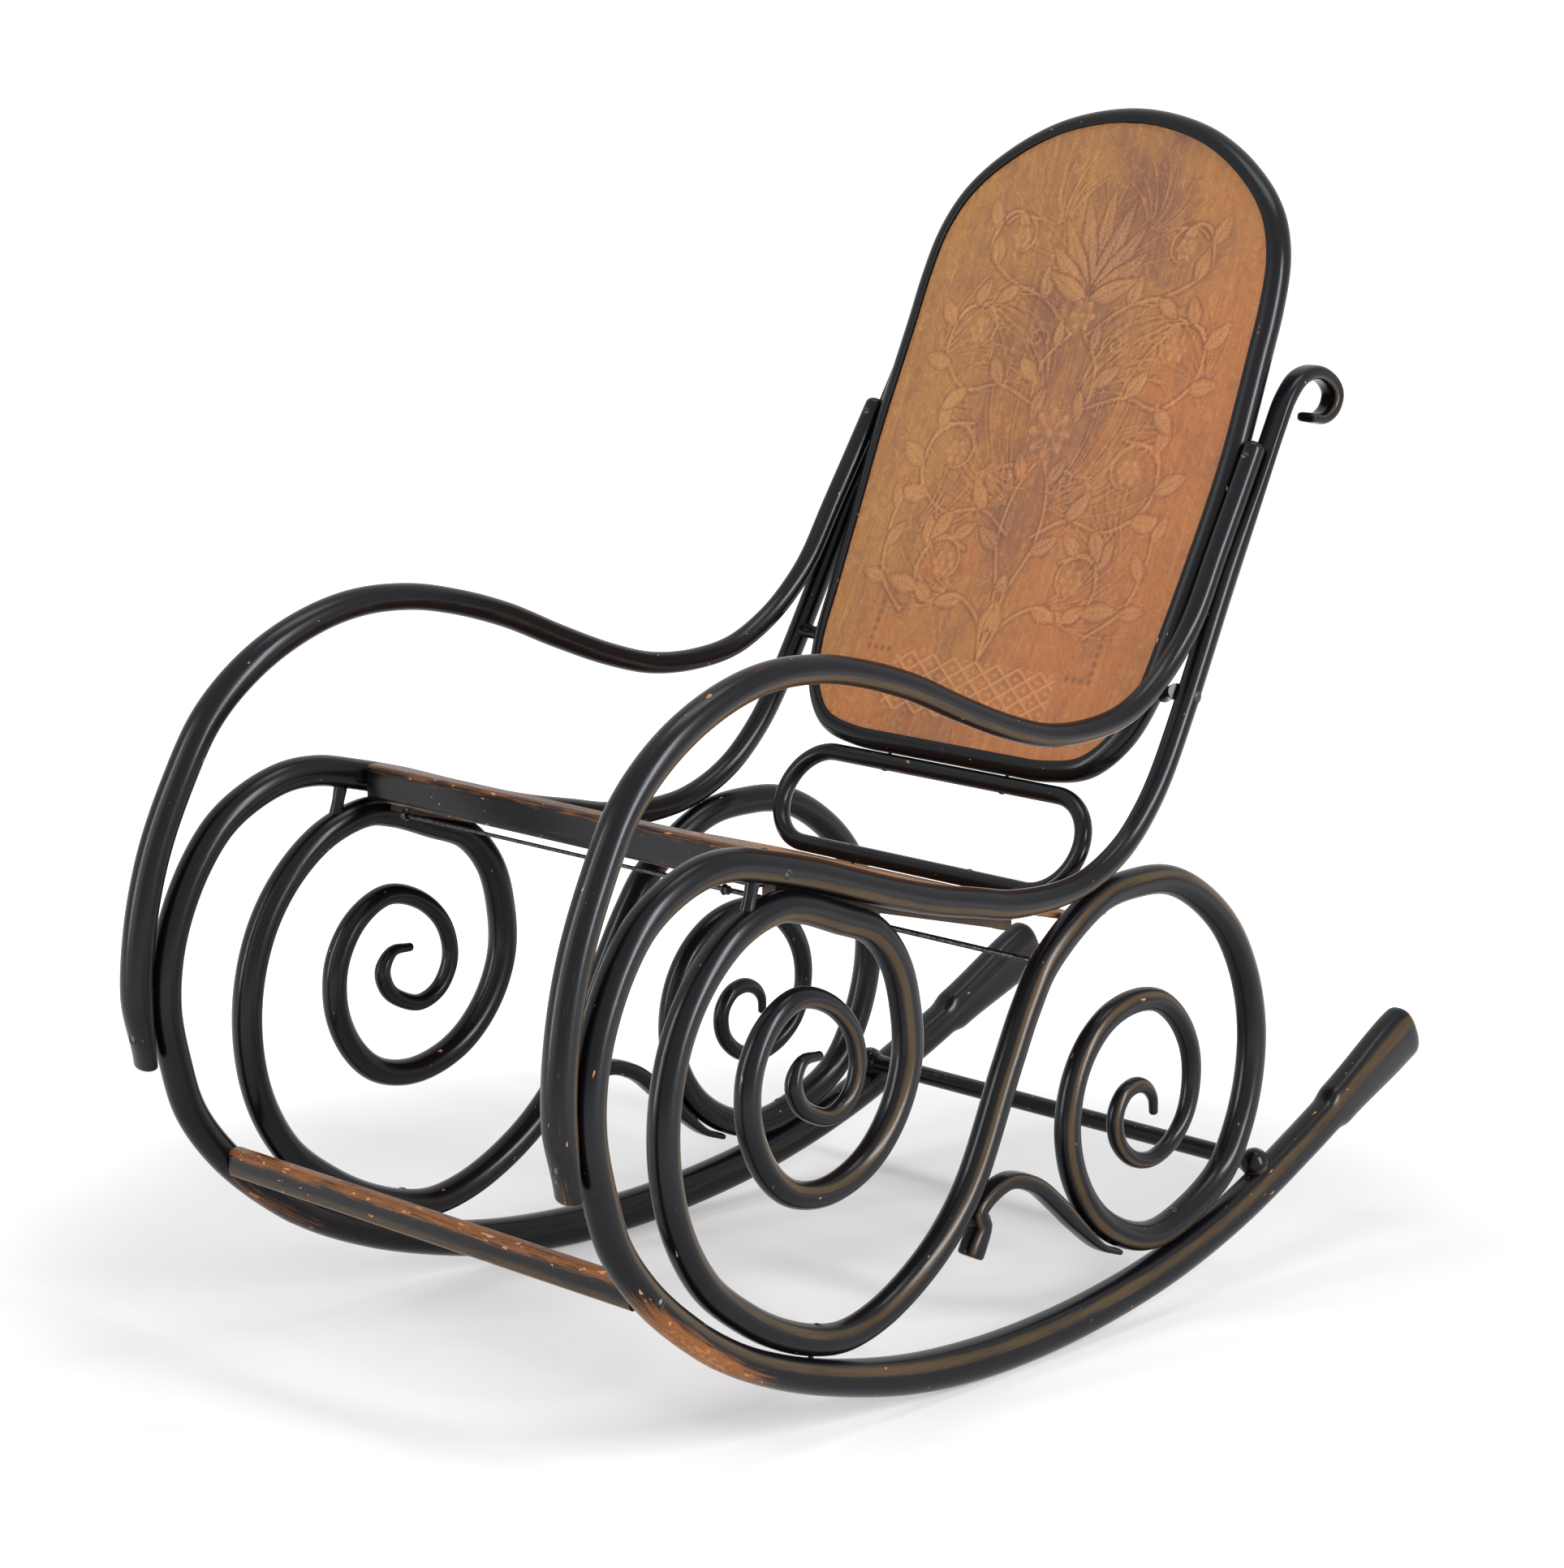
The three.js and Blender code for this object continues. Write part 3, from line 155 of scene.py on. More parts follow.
# Side rod: finial, post, seat rail and front curve, spliced to the runner with a slanting joint
sideRod = {
    "front": -0.518, "depth": 1.058, "height": 0.815, "blunt": (2.2, 5.0),
    "shares": [
        (0.849, 0.952), (0.866, 0.949), (0.88, 0.958), (0.885, 0.974), (0.878, 0.988),
        (0.859, 1), (0.837, 0.996), (0.819, 0.976), (0.804, 0.945), (0.779, 0.887),
        (0.736, 0.787), (0.682, 0.656), (0.652, 0.591), (0.632, 0.559), (0.609, 0.532),
        (0.582, 0.512), (0.552, 0.499), (0.522, 0.494), (0.491, 0.494), (0.457, 0.498),
        (0.422, 0.508), (0.374, 0.522), (0.328, 0.539), (0.283, 0.558), (0.237, 0.578),
        (0.19, 0.595), (0.151, 0.606), (0.118, 0.605), (0.083, 0.59), (0.054, 0.566),
        (0.03, 0.528), (0.011, 0.479), (0.001, 0.431), (-0.001, 0.38), (0.007, 0.325),
        (0.021, 0.268), (0.05, 0.214), (0.09, 0.165), (0.14, 0.12), (0.2, 0.084),
        (0.266, 0.057), (0.341, 0.036), (0.419, 0.026), (0.499, 0.026), (0.582, 0.035),
        (0.668, 0.054), (0.756, 0.087), (0.847, 0.136), (0.926, 0.184), (0.986, 0.221)],
    # share of the length, thickness, width, squareness of the section
    "sizes": [
        (0, 0.009, 0.021, 3.2), (0.02, 0.013, 0.021, 3.2), (0.075, 0.013, 0.021, 3),
        (0.12, 0.021, 0.021, 2.1), (0.24, 0.021, 0.021, 2), (0.3, 0.026, 0.026, 2),
        (0.38, 0.027, 0.027, 2), (0.5, 0.028, 0.028, 2), (0.63, 0.028, 0.028, 2),
        (0.76, 0.036, 0.032, 2.2), (0.9, 0.034, 0.032, 2.2), (0.953, 0.034, 0.032, 2.3),
        (0.96, 0.043, 0.032, 2.5), (1, 0.054, 0.032, 2.6)],
    "post": (0.07, 0.2), "rail": (0.2, 0.43), "frontCurve": (0.48, 0.61), "runner": (0.62, 1),
    "splice": 0.62, "slant": 1.0, "slantFade": 0.03, "spliceGap": 0.00006,
    # wear everywhere, at the tips, and in places: strength; middle and half of the length, or four shares
    # between which it rises and falls; and the value of the section over whose band it comes in
    "wear": (0.1, 0.25, [
        (0.8, (0.617, 0.045), "top", (-0.5, 0.5)), (0.3, (0.64, 0.72, 0.86, 0.97), "top", (0.3, 1)),
        (0.16, (0.56, 0.09), "top", (0.2, 1))]),
}

# Scroll rod: front scroll, S curve and rear scroll in one bent length
scrollRod = {
    "thick": 0.0265, "blunt": (2.2, 2.2),
    "frontInset": 0.08, "frontHalf": 0.148, "frontCrown": 0.002, "frontHeight": 0.37,
    "frontMeetY": -0.27, "frontFootY": -0.281,
    "rearY": 0.17901, "rearHalf": 0.129, "rearHeight": 0.32, "rearMeetY": 0.082, "rearFootY": 0.203,
    "frontRing": [
        (0.2, 0.317), (0.068, 0.313), (-0.005, 0.229), (0.035, 0.128), (0.14, 0.066),
        (0.278, 0.035), (0.422, 0.086), (0.506, 0.22), (0.461, 0.391), (0.284, 0.535),
        (0.029, 0.595), (-0.202, 0.502), (-0.341, 0.32), (-0.353, 0.101), (-0.248, -0.104),
        (-0.068, -0.244), (0.172, -0.297), (0.411, -0.27), (0.628, -0.179), (0.814, -0.007),
        (0.909, 0.2), (0.901, 0.42), (0.818, 0.643), (0.636, 0.812), (0.362, 0.905)],
    "frontReturn": [
        (-0.119, 1.015), (-0.423, 0.945), (-0.685, 0.784), (-0.876, 0.562), (-0.982, 0.28),
        (-0.986, -0.02), (-0.895, -0.298), (-0.702, -0.551), (-0.41, -0.745), (-0.155, -0.8645)],
    "frontLeave": [
        (0.365, -0.98), (0.639, -0.941), (0.94, -0.832), (1.211, -0.677), (1.44, -0.467)],
    "diagonal": [(-1.628, 0.163), (-1.418, 0.469), (-1.232, 0.669)],
    "rearRing": [
        (-0.273, 0.978), (0.08, 0.943), (0.422, 0.801), (0.727, 0.572), (0.924, 0.278),
        (1.001, -0.02), (0.969, -0.312), (0.843, -0.586), (0.638, -0.811)],
    "rearReturn": [
        (-0.158, -1.023), (-0.477, -0.941), (-0.752, -0.779), (-0.933, -0.555), (-1.004, -0.3),
        (-0.952, -0.052), (-0.807, 0.141), (-0.581, 0.274), (-0.3, 0.323), (-0.038, 0.287),
        (0.173, 0.155), (0.302, -0.03), (0.323, -0.222), (0.249, -0.41), (0.084, -0.539),
        (-0.129, -0.593), (-0.34, -0.545), (-0.48, -0.424), (-0.498, -0.28), (-0.41, -0.179),
        (-0.28, -0.15), (-0.164, -0.185), (-0.099, -0.252), (-0.09, -0.33)],
    "sizes": [
        (0, 0.008, 0.008, 2), (0.015, 0.015, 0.015, 2), (0.05, 0.015, 0.015, 2),
        (0.11, 0.022, 0.022, 2), (0.22, 0.0265, 0.0265, 2), (0.76, 0.0265, 0.0265, 2),
        (0.87, 0.022, 0.022, 2), (0.95, 0.015, 0.015, 2), (0.985, 0.015, 0.015, 2),
        (1, 0.008, 0.008, 2)],
    "diagonalSpan": (0.49, 0.6), "rearUnder": (0.79, 0.86),
    "wear": (0.08, 0.2, [(0.2, (0.425, 0.05), "down", (0, 1))]),
}

armrest = {
    "depth": 0.8447, "height": 0.747, "front": -0.5477, "blunt": (2.2, 2.0),
    "postHeights": (0.746, 0.7, 0.652), "frontHeights": (0.32, 0.274),
    "topThick": 0.019, "frontThick": 0.028,
    "shares": [
        (0.911, 0.827), (0.885, 0.793), (0.85, 0.76), (0.798, 0.73), (0.74, 0.72),
        (0.677, 0.724), (0.616, 0.743), (0.544, 0.775), (0.473, 0.81), (0.404, 0.835),
        (0.342, 0.849), (0.273, 0.85), (0.208, 0.833), (0.143, 0.797), (0.089, 0.744),
        (0.05, 0.671), (0.022, 0.599), (0.006, 0.53), (-0.001, 0.465)],
    "sizes": [
        (0, 0.019, 0.019, 2), (0.13, 0.019, 0.019, 2), (0.25, 0.02, 0.02, 2),
        (0.5, 0.023, 0.023, 2), (0.72, 0.028, 0.028, 2), (0.95, 0.028, 0.028, 2),
        (1, 0.015, 0.028, 2)],
    "wear": (0.1, 0.1, [
        (0.25, (0.64, 0.2), "top", (0.2, 1)), (0.22, (0.72, 0.9, 1.1, 1.2), "top", (-0.2, 0.8)),
        (0.1, (0.965, 1, 1.1, 1.2), "top", (-3, -2))]),
}

runnerHook = {
    "thick": 0.0155, "blunt": (7.0, 3.0), "meetZ": 0.161,
    "start": [(-0.075, 0.118), (-0.066, 0.136)],
    "fall": [(-0.034, 0.166), (0.002, 0.156), (0.034, 0.131)],
    "under": [(0.076, 0.0155), (0.102, 0.012), (0.132, 0.006)],
    "sizes": [
        (0, 0.022, 0.02, 2.8), (0.07, 0.019, 0.02, 2.8), (0.2, 0.0145, 0.02, 2.8),
        (0.62, 0.0155, 0.02, 2.8), (1, 0.006, 0.02, 3)],
    "wear": (0.14, 0.2, []),
}


def halfThick(piece, share):
    return sizesAt(piece["sizes"], np.array([share]))[0, 0] / 2


# A point beside the side rod at which another rod of the given thickness touches it
def touching(share, thick, sign):
    reach = halfThick(sideRod, share) + thick / 2 + chairSizes["gap"]
    return beside(sideRod["line"], share, sign * reach)


sideRod["line"] = bentLine([sidePoint(sideRod["front"] + u * sideRod["depth"],
                                      v * sideRod["height"]) for u, v in sideRod["shares"]])


def onSide(span, axis, value):
    return shareWhere(sideRod["line"], axis, value, sideRod[span])


# The rings are ovals' outlines, in shares of their half sizes, tied to the side rod where they touch it
def drawScroll(s):
    top = touching(onSide("rail", 1, s["frontMeetY"]), s["thick"], -1)
    foot = touching(onSide("runner", 1, s["frontFootY"]), s["thick"], -1)
    rearFoot = touching(onSide("runner", 1, s["rearFootY"]), s["thick"], -1)
    rearMeet = touching(onSide("rail", 1, s["rearMeetY"]), s["thick"], -1)
    frontY = sideRod["front"] + s["frontInset"] + s["frontHalf"]
    frontHigh = s["frontHeight"] / 2
    frontZ = top[2] + s["frontCrown"] - frontHigh
    rearHigh = s["rearHeight"] / 2
    rearZ = rearFoot[2] + rearHigh
    inFront = lambda rows: [sidePoint(frontY + u * s["frontHalf"], frontZ + v * frontHigh)
                            for u, v in rows]
    inRear = lambda rows: [sidePoint(s["rearY"] + u * s["rearHalf"], rearZ + v * rearHigh)
                           for u, v in rows]
    return bentLine([
        *inFront(s["frontRing"]), top, *inFront(s["frontReturn"]), foot,
        *inFront(s["frontLeave"]), *inRear(s["diagonal"]), rearMeet,
        *inRear(s["rearRing"]), rearFoot, *inRear(s["rearReturn"])])


scrollRod["line"] = drawScroll(scrollRod)
armrest["line"] = bentLine([
    *(touching(onSide("post", 2, z), armrest["topThick"], 1) for z in armrest["postHeights"]),
    *(sidePoint(armrest["front"] + u * armrest["depth"], v * armrest["height"])
      for u, v in armrest["shares"]),
    *(touching(onSide("frontCurve", 2, z), armrest["frontThick"], 1)
      for z in armrest["frontHeights"])])


# The hook leans on the S curve and then runs along under the rear ring, a gap off its surface
def drawHook(h):
    line = scrollRod["line"]
    meet = shareWhere(line, 2, h["meetZ"], scrollRod["diagonalSpan"])
    gap = chairSizes["gap"]
    points = [sidePoint(*p) for p in h["start"]]
    points.append(beside(line, meet, scrollRod["thick"] / 2 + h["thick"] / 2 + gap))
    points += [sidePoint(*p) for p in h["fall"]]
    low, high = scrollRod["rearUnder"]
    inside = (line["share"] > low) & (line["share"] < high)
    span = (low, line["share"][inside][np.argmin(line["points"][inside, 1])])
    for y, thick in h["under"]:
        share = shareWhere(line, 1, y, span)
        points.append(beside(line, share, -(halfThick(scrollRod, share) + thick / 2 + gap)))
    return bentLine(points)


runnerHook["line"] = drawHook(runnerHook)
print("lines drawn:", round(sideRod["line"]["length"], 3), round(scrollRod["line"]["length"], 3),
      round(armrest["line"]["length"], 3), round(runnerHook["line"]["length"], 3))

# Meshes


# Six times the volume inside a closed mesh, below zero where its faces point inwards
def enclosed(points, quads, tris):
    corners = np.concatenate([quads[:, [0, 1, 2]], quads[:, [0, 2, 3]], tris])
    a, b, c = (points[corners[:, k]] for k in range(3))
    return np.einsum("ij,ij->", a - points[0], np.cross(b - points[0], c - points[0]))


# A mesh of quads and triangles, turned right side out, which stands for the node that it is named after
def makePiece(node, word, points, quads, tris, slot, values=None, crease=50):
    quads = np.asarray(quads, int).reshape(-1, 4)
    tris = np.asarray(tris, int).reshape(-1, 3)
    if enclosed(points, quads, tris) < 0:
        quads, tris = quads[:, ::-1], tris[:, ::-1]
    name = f"{node}_{word}"
    mesh = bpy.data.meshes.new(name)
    mesh.vertices.add(len(points))
    mesh.vertices.foreach_set("co", np.asarray(points, np.float32).ravel())
    corners = np.concatenate([quads.ravel(), tris.ravel()]).astype(np.int32)
    mesh.loops.add(len(corners))
    mesh.loops.foreach_set("vertex_index", corners)
    starts = np.concatenate([np.arange(len(quads)) * 4,
                             len(quads) * 4 + np.arange(len(tris)) * 3]).astype(np.int32)
    mesh.polygons.add(len(starts))
    mesh.polygons.foreach_set("loop_start", starts)
    mesh.update(calc_edges=True)
    for key, found in (values or {}).items():
        found = np.asarray(found, np.float32)
        kind, part = ("FLOAT_VECTOR", "vector") if found.ndim == 2 else ("FLOAT", "value")
        mesh.attributes.new(key, kind, "POINT").data.foreach_set(part, found.ravel())
    mesh.polygons.foreach_set("use_smooth", np.ones(len(starts), bool))
    mesh.set_sharp_from_angle(angle=np.radians(crease))
    mesh.materials.append(slotMaterials[slot])
    piece = bpy.data.objects.new(name, mesh)
    bpy.context.scene.collection.objects.link(piece)
    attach(piece, "root")
    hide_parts(node)


# Faces of a grid of points, and its rim's points in order
def gridFaces(rows, columns):
    index = np.arange(rows * columns).reshape(rows, columns)
    faces = np.stack([index[:-1, :-1], index[:-1, 1:], index[1:, 1:], index[1:, :-1]], -1)
    rim = np.concatenate([index[0], index[1:, -1], index[-1, -2::-1], index[-2:0:-1, 0]])
    return faces.reshape(-1, 4), rim


# Faces of a tube of rings, closed into a loop or by a fan round a last point at each end
def tubeFaces(rings, sides, closed):
    i, k = np.meshgrid(np.arange(rings if closed else rings - 1), np.arange(sides), indexing="ij")
    a, b = i * sides, ((i + 1) % rings) * sides
    n = (k + 1) % sides
    quads = np.stack([a + k, a + n, b + n, b + k], -1).reshape(-1, 4)
    if closed:
        return quads, np.zeros((0, 3), int)
    k = np.arange(sides)
    n, last, end = (k + 1) % sides, (rings - 1) * sides, rings * sides
    return quads, np.concatenate([
        np.stack([np.full(sides, end), n, k], -1),
        np.stack([np.full(sides, end + 1), last + k, last + n], -1)])


# Unit section: a rounded square whose corners fill out as the squareness grows, from a circle at 2
def unitSection(sides, square):
    angle = (np.arange(sides) + 0.5) / sides * 2 * np.pi
    c, s = np.cos(angle), np.sin(angle)
    power = 2 / np.asarray(square)[..., None]
    return np.sign(c) * np.abs(c) ** power, np.sign(s) * np.abs(s) ** power, angle


# The other hand's grain is shifted, so that the two sides aren't alike
rodMesh = {"sides": 32, "step": 0.004, "tipRings": 7, "tipReach": 0.38, "tipEnd": 0.995, "handShift": 7.3}


# Rings along a stretch of the rod; a free end shrinks as a rounded tip does, and an end at the
# splice slants by its slope times the section's height
def sweptRod(piece, out, side, span=(0, 1)):
    line, m = piece["line"], rodMesh
    length = line["length"]
    gap = piece.get("spliceGap", 0) / length
    low, high = span[0] + gap * (span[0] > 0), span[1] - gap * (span[1] < 1)
    share = np.linspace(low, high, int((high - low) * length / m["step"]))
    rise = np.sin(np.linspace(0, 1, m["tipRings"] + 1)[1:] * np.pi / 2)
    push, scale = np.zeros(len(share)), np.ones(len(share))
    ends = sizesAt(piece["sizes"], np.array([0.0, 1.0]))[:, 0] * m["tipReach"]
    fade = [(1 - (rise * m["tipEnd"]) ** power) ** (1 / power) for power in piece["blunt"]]
    if span[0] == 0:
        share = np.concatenate([0 * rise, share])
        push = np.concatenate([-rise[::-1] * ends[0], push])
        scale = np.concatenate([fade[0][::-1], scale])
    if span[1] == 1:
        share = np.concatenate([share, 0 * rise + 1])
        push = np.concatenate([push, rise * ends[1]])
        scale = np.concatenate([scale, fade[1]])
    slope = 0 * share
    if "splice" in piece:
        away = np.abs(share - piece["splice"]) * length
        slope = piece["slant"] * np.clip(1 - away / piece["slantFade"], 0, 1)
    sizes = sizesAt(piece["sizes"], share)
    way, lift = at(line, share, "way"), outward(line, share)
    centre = at(line, share)
    centre[:, 0] = sideX(centre[:, 1], centre[:, 2], out)
    centre += way * push[:, None]
    c, s, angle = unitSection(m["sides"], sizes[:, 2])
    half = sizes[:, :2] / 2 * scale[:, None]
    lean = lift + way * slope[:, None]
    x = centre[:, None, 0] + c * half[:, 1:2]
    yz = centre[:, None, 1:] + s[..., None] * half[:, None, :1] * lean[:, None, 1:]
    points = np.concatenate([x[..., None], yz], -1)
    tips = np.stack([points[0].mean(0), points[-1].mean(0)])
    run = (share * length + push)[:, None] + s * half[:, :1] * slope[:, None]
    grain = np.stack([run + m["handShift"] * (side < 0), half[:, 1:2] * np.cos(angle),
                      half[:, :1] * np.sin(angle)], -1)
    rings = {"share": share[:, None], "angle": angle[None], "top": np.sin(angle)[None],
             "down": -lift[:, None, 2] * np.sin(angle), "tip": 1 - scale[:, None]}
    rings = {k: np.broadcast_to(v, c.shape) for k, v in rings.items()}
    flat = np.concatenate([points.reshape(-1, 3), tips]) + standAt
    grainFlat = np.concatenate([grain.reshape(-1, 3), grain[[0, -1], 0]])
    ringFlat = {k: np.concatenate([v.ravel(), v[[0, -1], 0]]) for k, v in rings.items()}
    flat[:, 0] *= side
    quads, tris = tubeFaces(len(points), m["sides"], False)
    return flat, quads, tris, grainFlat, ringFlat


# A step from 0 to 1 with a cubic's soft start and end
def smooth(value, low, high):
    t = np.clip((value - low) / (high - low), 0, 1)
    return t * t * (3 - 2 * t)


# A parabola's hump, 1 at its centre
def bump(value, centre, half):
    return np.clip(1 - ((value - centre) / half) ** 2, 0, 1)


# Materials


def addNode(tree, kind, inputs=None, **settings):
    node = tree.nodes.new("ShaderNode" + kind)
    for key, value in settings.items():
        setattr(node, key, value)
    for key, value in (inputs or {}).items():
        if isinstance(value, bpy.types.NodeSocket):
            tree.links.new(value, node.inputs[key])
        else:
            node.inputs[key].default_value = value
    return node


def newMaterial(name):
    material = bpy.data.materials.new(name)
    material.use_nodes = True
    material.node_tree.nodes.clear()
    return material, material.node_tree


def readValue(tree, name, part="Fac"):
    return addNode(tree, "Attribute", attribute_name=name).outputs[part]


# Noise at a place that is stretched along each axis, and shifted
def noise(tree, place, stretch, detail=4.0, rough=0.55, shift=(0, 0, 0), warp=0.0):
    spot = addNode(tree, "Mapping", {"Vector": place, "Scale": stretch, "Location": shift}).outputs[0]
    return addNode(tree, "TexNoise", {"Vector": spot, "Scale": 1.0, "Detail": detail,
                                      "Roughness": rough, "Distortion": warp}).outputs["Fac"]


def noises(tree, place, look):
    return [noise(tree, place, *row) for row in look["noises"].values()]


def compute(tree, operation, a, b=0.5):
    return addNode(tree, "Math", {0: a, 1: b}, operation=operation).outputs[0]


# The sum of two values, each times its weight
def weighed(tree, a, weightA, b, weightB=1):
    a, b = (v if w == 1 else compute(tree, "MULTIPLY", v, w) for v, w in ((a, weightA), (b, weightB)))
    return compute(tree, "ADD", a, b)


def ranged(tree, value, low, high, toLow=0.0, toHigh=1.0):
    return addNode(tree, "MapRange", {"Value": value, "From Min": low, "From Max": high,
                                      "To Min": toLow, "To Max": toHigh},
                   interpolation_type="SMOOTHSTEP").outputs[0]


# Coats of colour over one another, each as strong as its factor
def coated(tree, base, *coats):
    opaque = lambda v: (*v, 1.0) if isinstance(v, tuple) else v
    for factor, colour in coats:
        base = addNode(tree, "Mix", {0: factor, 6: opaque(base), 7: opaque(colour)},
                       data_type="RGBA").outputs[2]
    return base


def bumped(tree, height, distance, strength, normal=None):
    inputs = {"Height": height, "Distance": distance, "Strength": strength}
    if normal is not None:
        inputs["Normal"] = normal
    return addNode(tree, "Bump", inputs).outputs[0]


def finishShader(tree, colour, rough, normal, **fixed):
    shader = addNode(tree, "BsdfPrincipled", {"Base Color": colour, "Roughness": rough,
                                              "Normal": normal})
    for key, value in fixed.items():
        shader.inputs[key.replace("_", " ")].default_value = value
    out = addNode(tree, "OutputMaterial")
    tree.links.new(shader.outputs[0], out.inputs[0])


# In each look, a noise has its stretch along three axes, detail, roughness, shift and warp. A band has
# the values between which a layer comes in, and how weak and strong it gets.
# The black's slight blue tint is a painted cool sheen
lacquer = {
    # worn is the brown of the painted warm reflection below and along the rods' edges
    "black": (0.0036, 0.0036, 0.0048), "worn": (0.064, 0.039, 0.0175),
    "rubbed": (0.215, 0.076, 0.02), "bare": (0.4, 0.16, 0.05), "specks": (0.46, 0.22, 0.085),
    "noises": {
        "broad": ((9, 60, 60), 3.0), "streak": ((30, 520, 520), 5.0, 0.6),
        "flake": ((150, 420, 420), 4.0, 0.62, (3, 1, 2)), "chip": ((75, 210, 210), 2.0, 0.5, (1, 5, 4))},
    "reflectionTone": (0.85, 1.5), "rub": (0.78, 1.2), "flaked": (0.96, 1.08), "spot": (0.75, 0.785),
    "gloss": (0, 1, 0.21, 0.45),
    "streakBump": (0.0004, 0.35), "broadBump": (0.0012, 0.15),
}


# Black lacquer over beech: a brown painted warm reflection below and along the edges, and rubbed and
# chipped to bare wood where worn.
# The reflection shows where the under value and its noise pass a threshold, each wear layer where its
# wear and its noise together pass one.
def lacquerMaterial(name, look):
    material, tree = newMaterial(name)
    grain = readValue(tree, "grain", "Vector")
    wear, under = readValue(tree, "wear"), readValue(tree, "under")
    broad, streak, flake, chip = noises(tree, grain, look)
    patchy = compute(tree, "MULTIPLY", compute(tree, "ADD", broad, streak), 0.5)
    # Painted warm reflection: brown where the section faces down or lies along the edges (the under
    # value)
    reflectionTone = ranged(tree, weighed(tree, under, 0.9, patchy, 1.1), *look["reflectionTone"])
    rub = ranged(tree, weighed(tree, wear, 0.9, streak, 0.9), *look["rub"])
    bare = ranged(tree, weighed(tree, wear, 0.5, flake), *look["flaked"])
    spot = ranged(tree, weighed(tree, wear, 0.14, chip), *look["spot"])
    colour = coated(tree, look["black"], (reflectionTone, look["worn"]), (rub, look["rubbed"]),
                    (bare, look["bare"]), (spot, look["specks"]))
    gone = compute(tree, "MAXIMUM", bare, spot)
    dull = compute(tree, "MAXIMUM", compute(tree, "MULTIPLY", rub, 0.6), gone)
    rough = weighed(tree, ranged(tree, dull, *look["gloss"]), 1, streak, 0.06)
    height = compute(tree, "SUBTRACT", compute(tree, "MULTIPLY", streak, 0.22), gone)
    normal = bumped(tree, height, *look["streakBump"])
    normal = bumped(tree, broad, *look["broadBump"], normal)
    finishShader(tree, colour, rough, normal, Specular_IOR_Level=0.2)
    return material


plyLook = {
    "light": (0.5, 0.235, 0.09), "main": (0.285, 0.109, 0.034), "dark": (0.17, 0.067, 0.034),
    "ochre": (0.315, 0.145, 0.036), "orange": (0.38, 0.122, 0.029), "poreAndShade": (0.14, 0.052, 0.02),
    "noises": {
        "cloudy": ((14, 9, 14), 5.0, 0.62, (2, 3, 0), 1.2),
        "patch": ((11, 6, 8), 4.0, 0.6, (7, 1, 0), 0.8),
        "lengthwise": ((190, 8, 40), 6.0, 0.65, (0, 0, 0), 0.6),
        "fine": ((620, 42, 90), 4.0, 0.65, (1, 1, 1)),
        "swirl": ((62, 50, 60), 2.0, 0.5, (4, 2, 1), 1.6)},
    "shade": (0.68, 1.4), "side": (0.75, 1.5), "mainPart": 0.25,
    "pale": (0.42, 0.78, 0.0, 0.4), "pores": (0.5, 0.74, 0.0, 0.5),
    "filament": (0.035, 0.0), "filamentPart": 0.3, "hollow": (0.08, 0.15, 0.0, 0.3),
    # raised lines are painted lighter, as rubbing and a painted highlight; sunk lines and holes are
    # painted dark as shade
    "raised": (0.05, 1.4, 0.0, 0.75), "sunk": (-0.02, -0.45, 0.0, 0.55), "hole": (-0.6, -1.0, 0.0, 0.75),
    "gloss": (0, 1, 0.42, 0.58), "filamentBump": (0.0005, 0.6), "grainBump": (0.0004, 0.5),
}


# Pressed plywood: tan veneer with long grain and red-brown clouds; the ornament's raised lines are
# painted lighter, as rubbing and as a painted highlight, and its sunk lines and holes painted dark as
# shade.
# Fine pale lines run where a swirling noise crosses its middle.
def plyMaterial(name, look):
    material, tree = newMaterial(name)
    grain = readValue(tree, "grain", "Vector")
    relief, cloud, warmth = (readValue(tree, k) for k in ("relief", "cloud", "warmth"))
    cloudy, patch, lengthwise, fine, swirl = noises(tree, grain, look)
    shade = ranged(tree, weighed(tree, cloudy, 1.6, cloud), *look["shade"])
    side = ranged(tree, weighed(tree, patch, 1.3, warmth), *look["side"])
    crossing = compute(tree, "ABSOLUTE", compute(tree, "SUBTRACT", swirl, 0.5))
    filament, hollow = (ranged(tree, crossing, *look[k]) for k in ("filament", "hollow"))
    # Painted shade in the sunk lines and holes, and a painted highlight with rubbing on the raised lines
    raised, sunk, hole = (ranged(tree, relief, *look[k]) for k in ("raised", "sunk", "hole"))
    colour = coated(
        tree, look["ochre"], (side, look["orange"]), (look["mainPart"], look["main"]),
        (shade, look["dark"]), (ranged(tree, lengthwise, *look["pale"]), look["light"]),
        (ranged(tree, fine, *look["pores"]), look["poreAndShade"]),
        (compute(tree, "MULTIPLY", filament, look["filamentPart"]), look["light"]),
        (hollow, look["dark"]), (raised, look["light"]),
        (compute(tree, "MAXIMUM", sunk, hole), look["poreAndShade"]))
    rough = weighed(tree, ranged(tree, lengthwise, *look["gloss"]), 1, sunk, 0.12)
    height = weighed(tree, lengthwise, 0.5, fine, 0.35)
    normal = bumped(tree, height, *look["grainBump"], bumped(tree, filament, *look["filamentBump"]))
    finishShader(tree, colour, rough, normal, Specular_IOR_Level=0.35)
    return material


woodLook = {
    "pale": (0.075, 0.045, 0.026), "deep": (0.035, 0.02, 0.012),
    "noises": {"long": ((6, 160, 160), 6.0, 0.65, (0, 0, 0), 0.4), "blotch": ((14, 14, 14), 3.0)},
    "band": (0.3, 0.7), "stain": (0.4, 0.75, 0, 0.5), "gloss": (0, 1, 0.55, 0.75), "bump": (0.0004, 0.6),
}


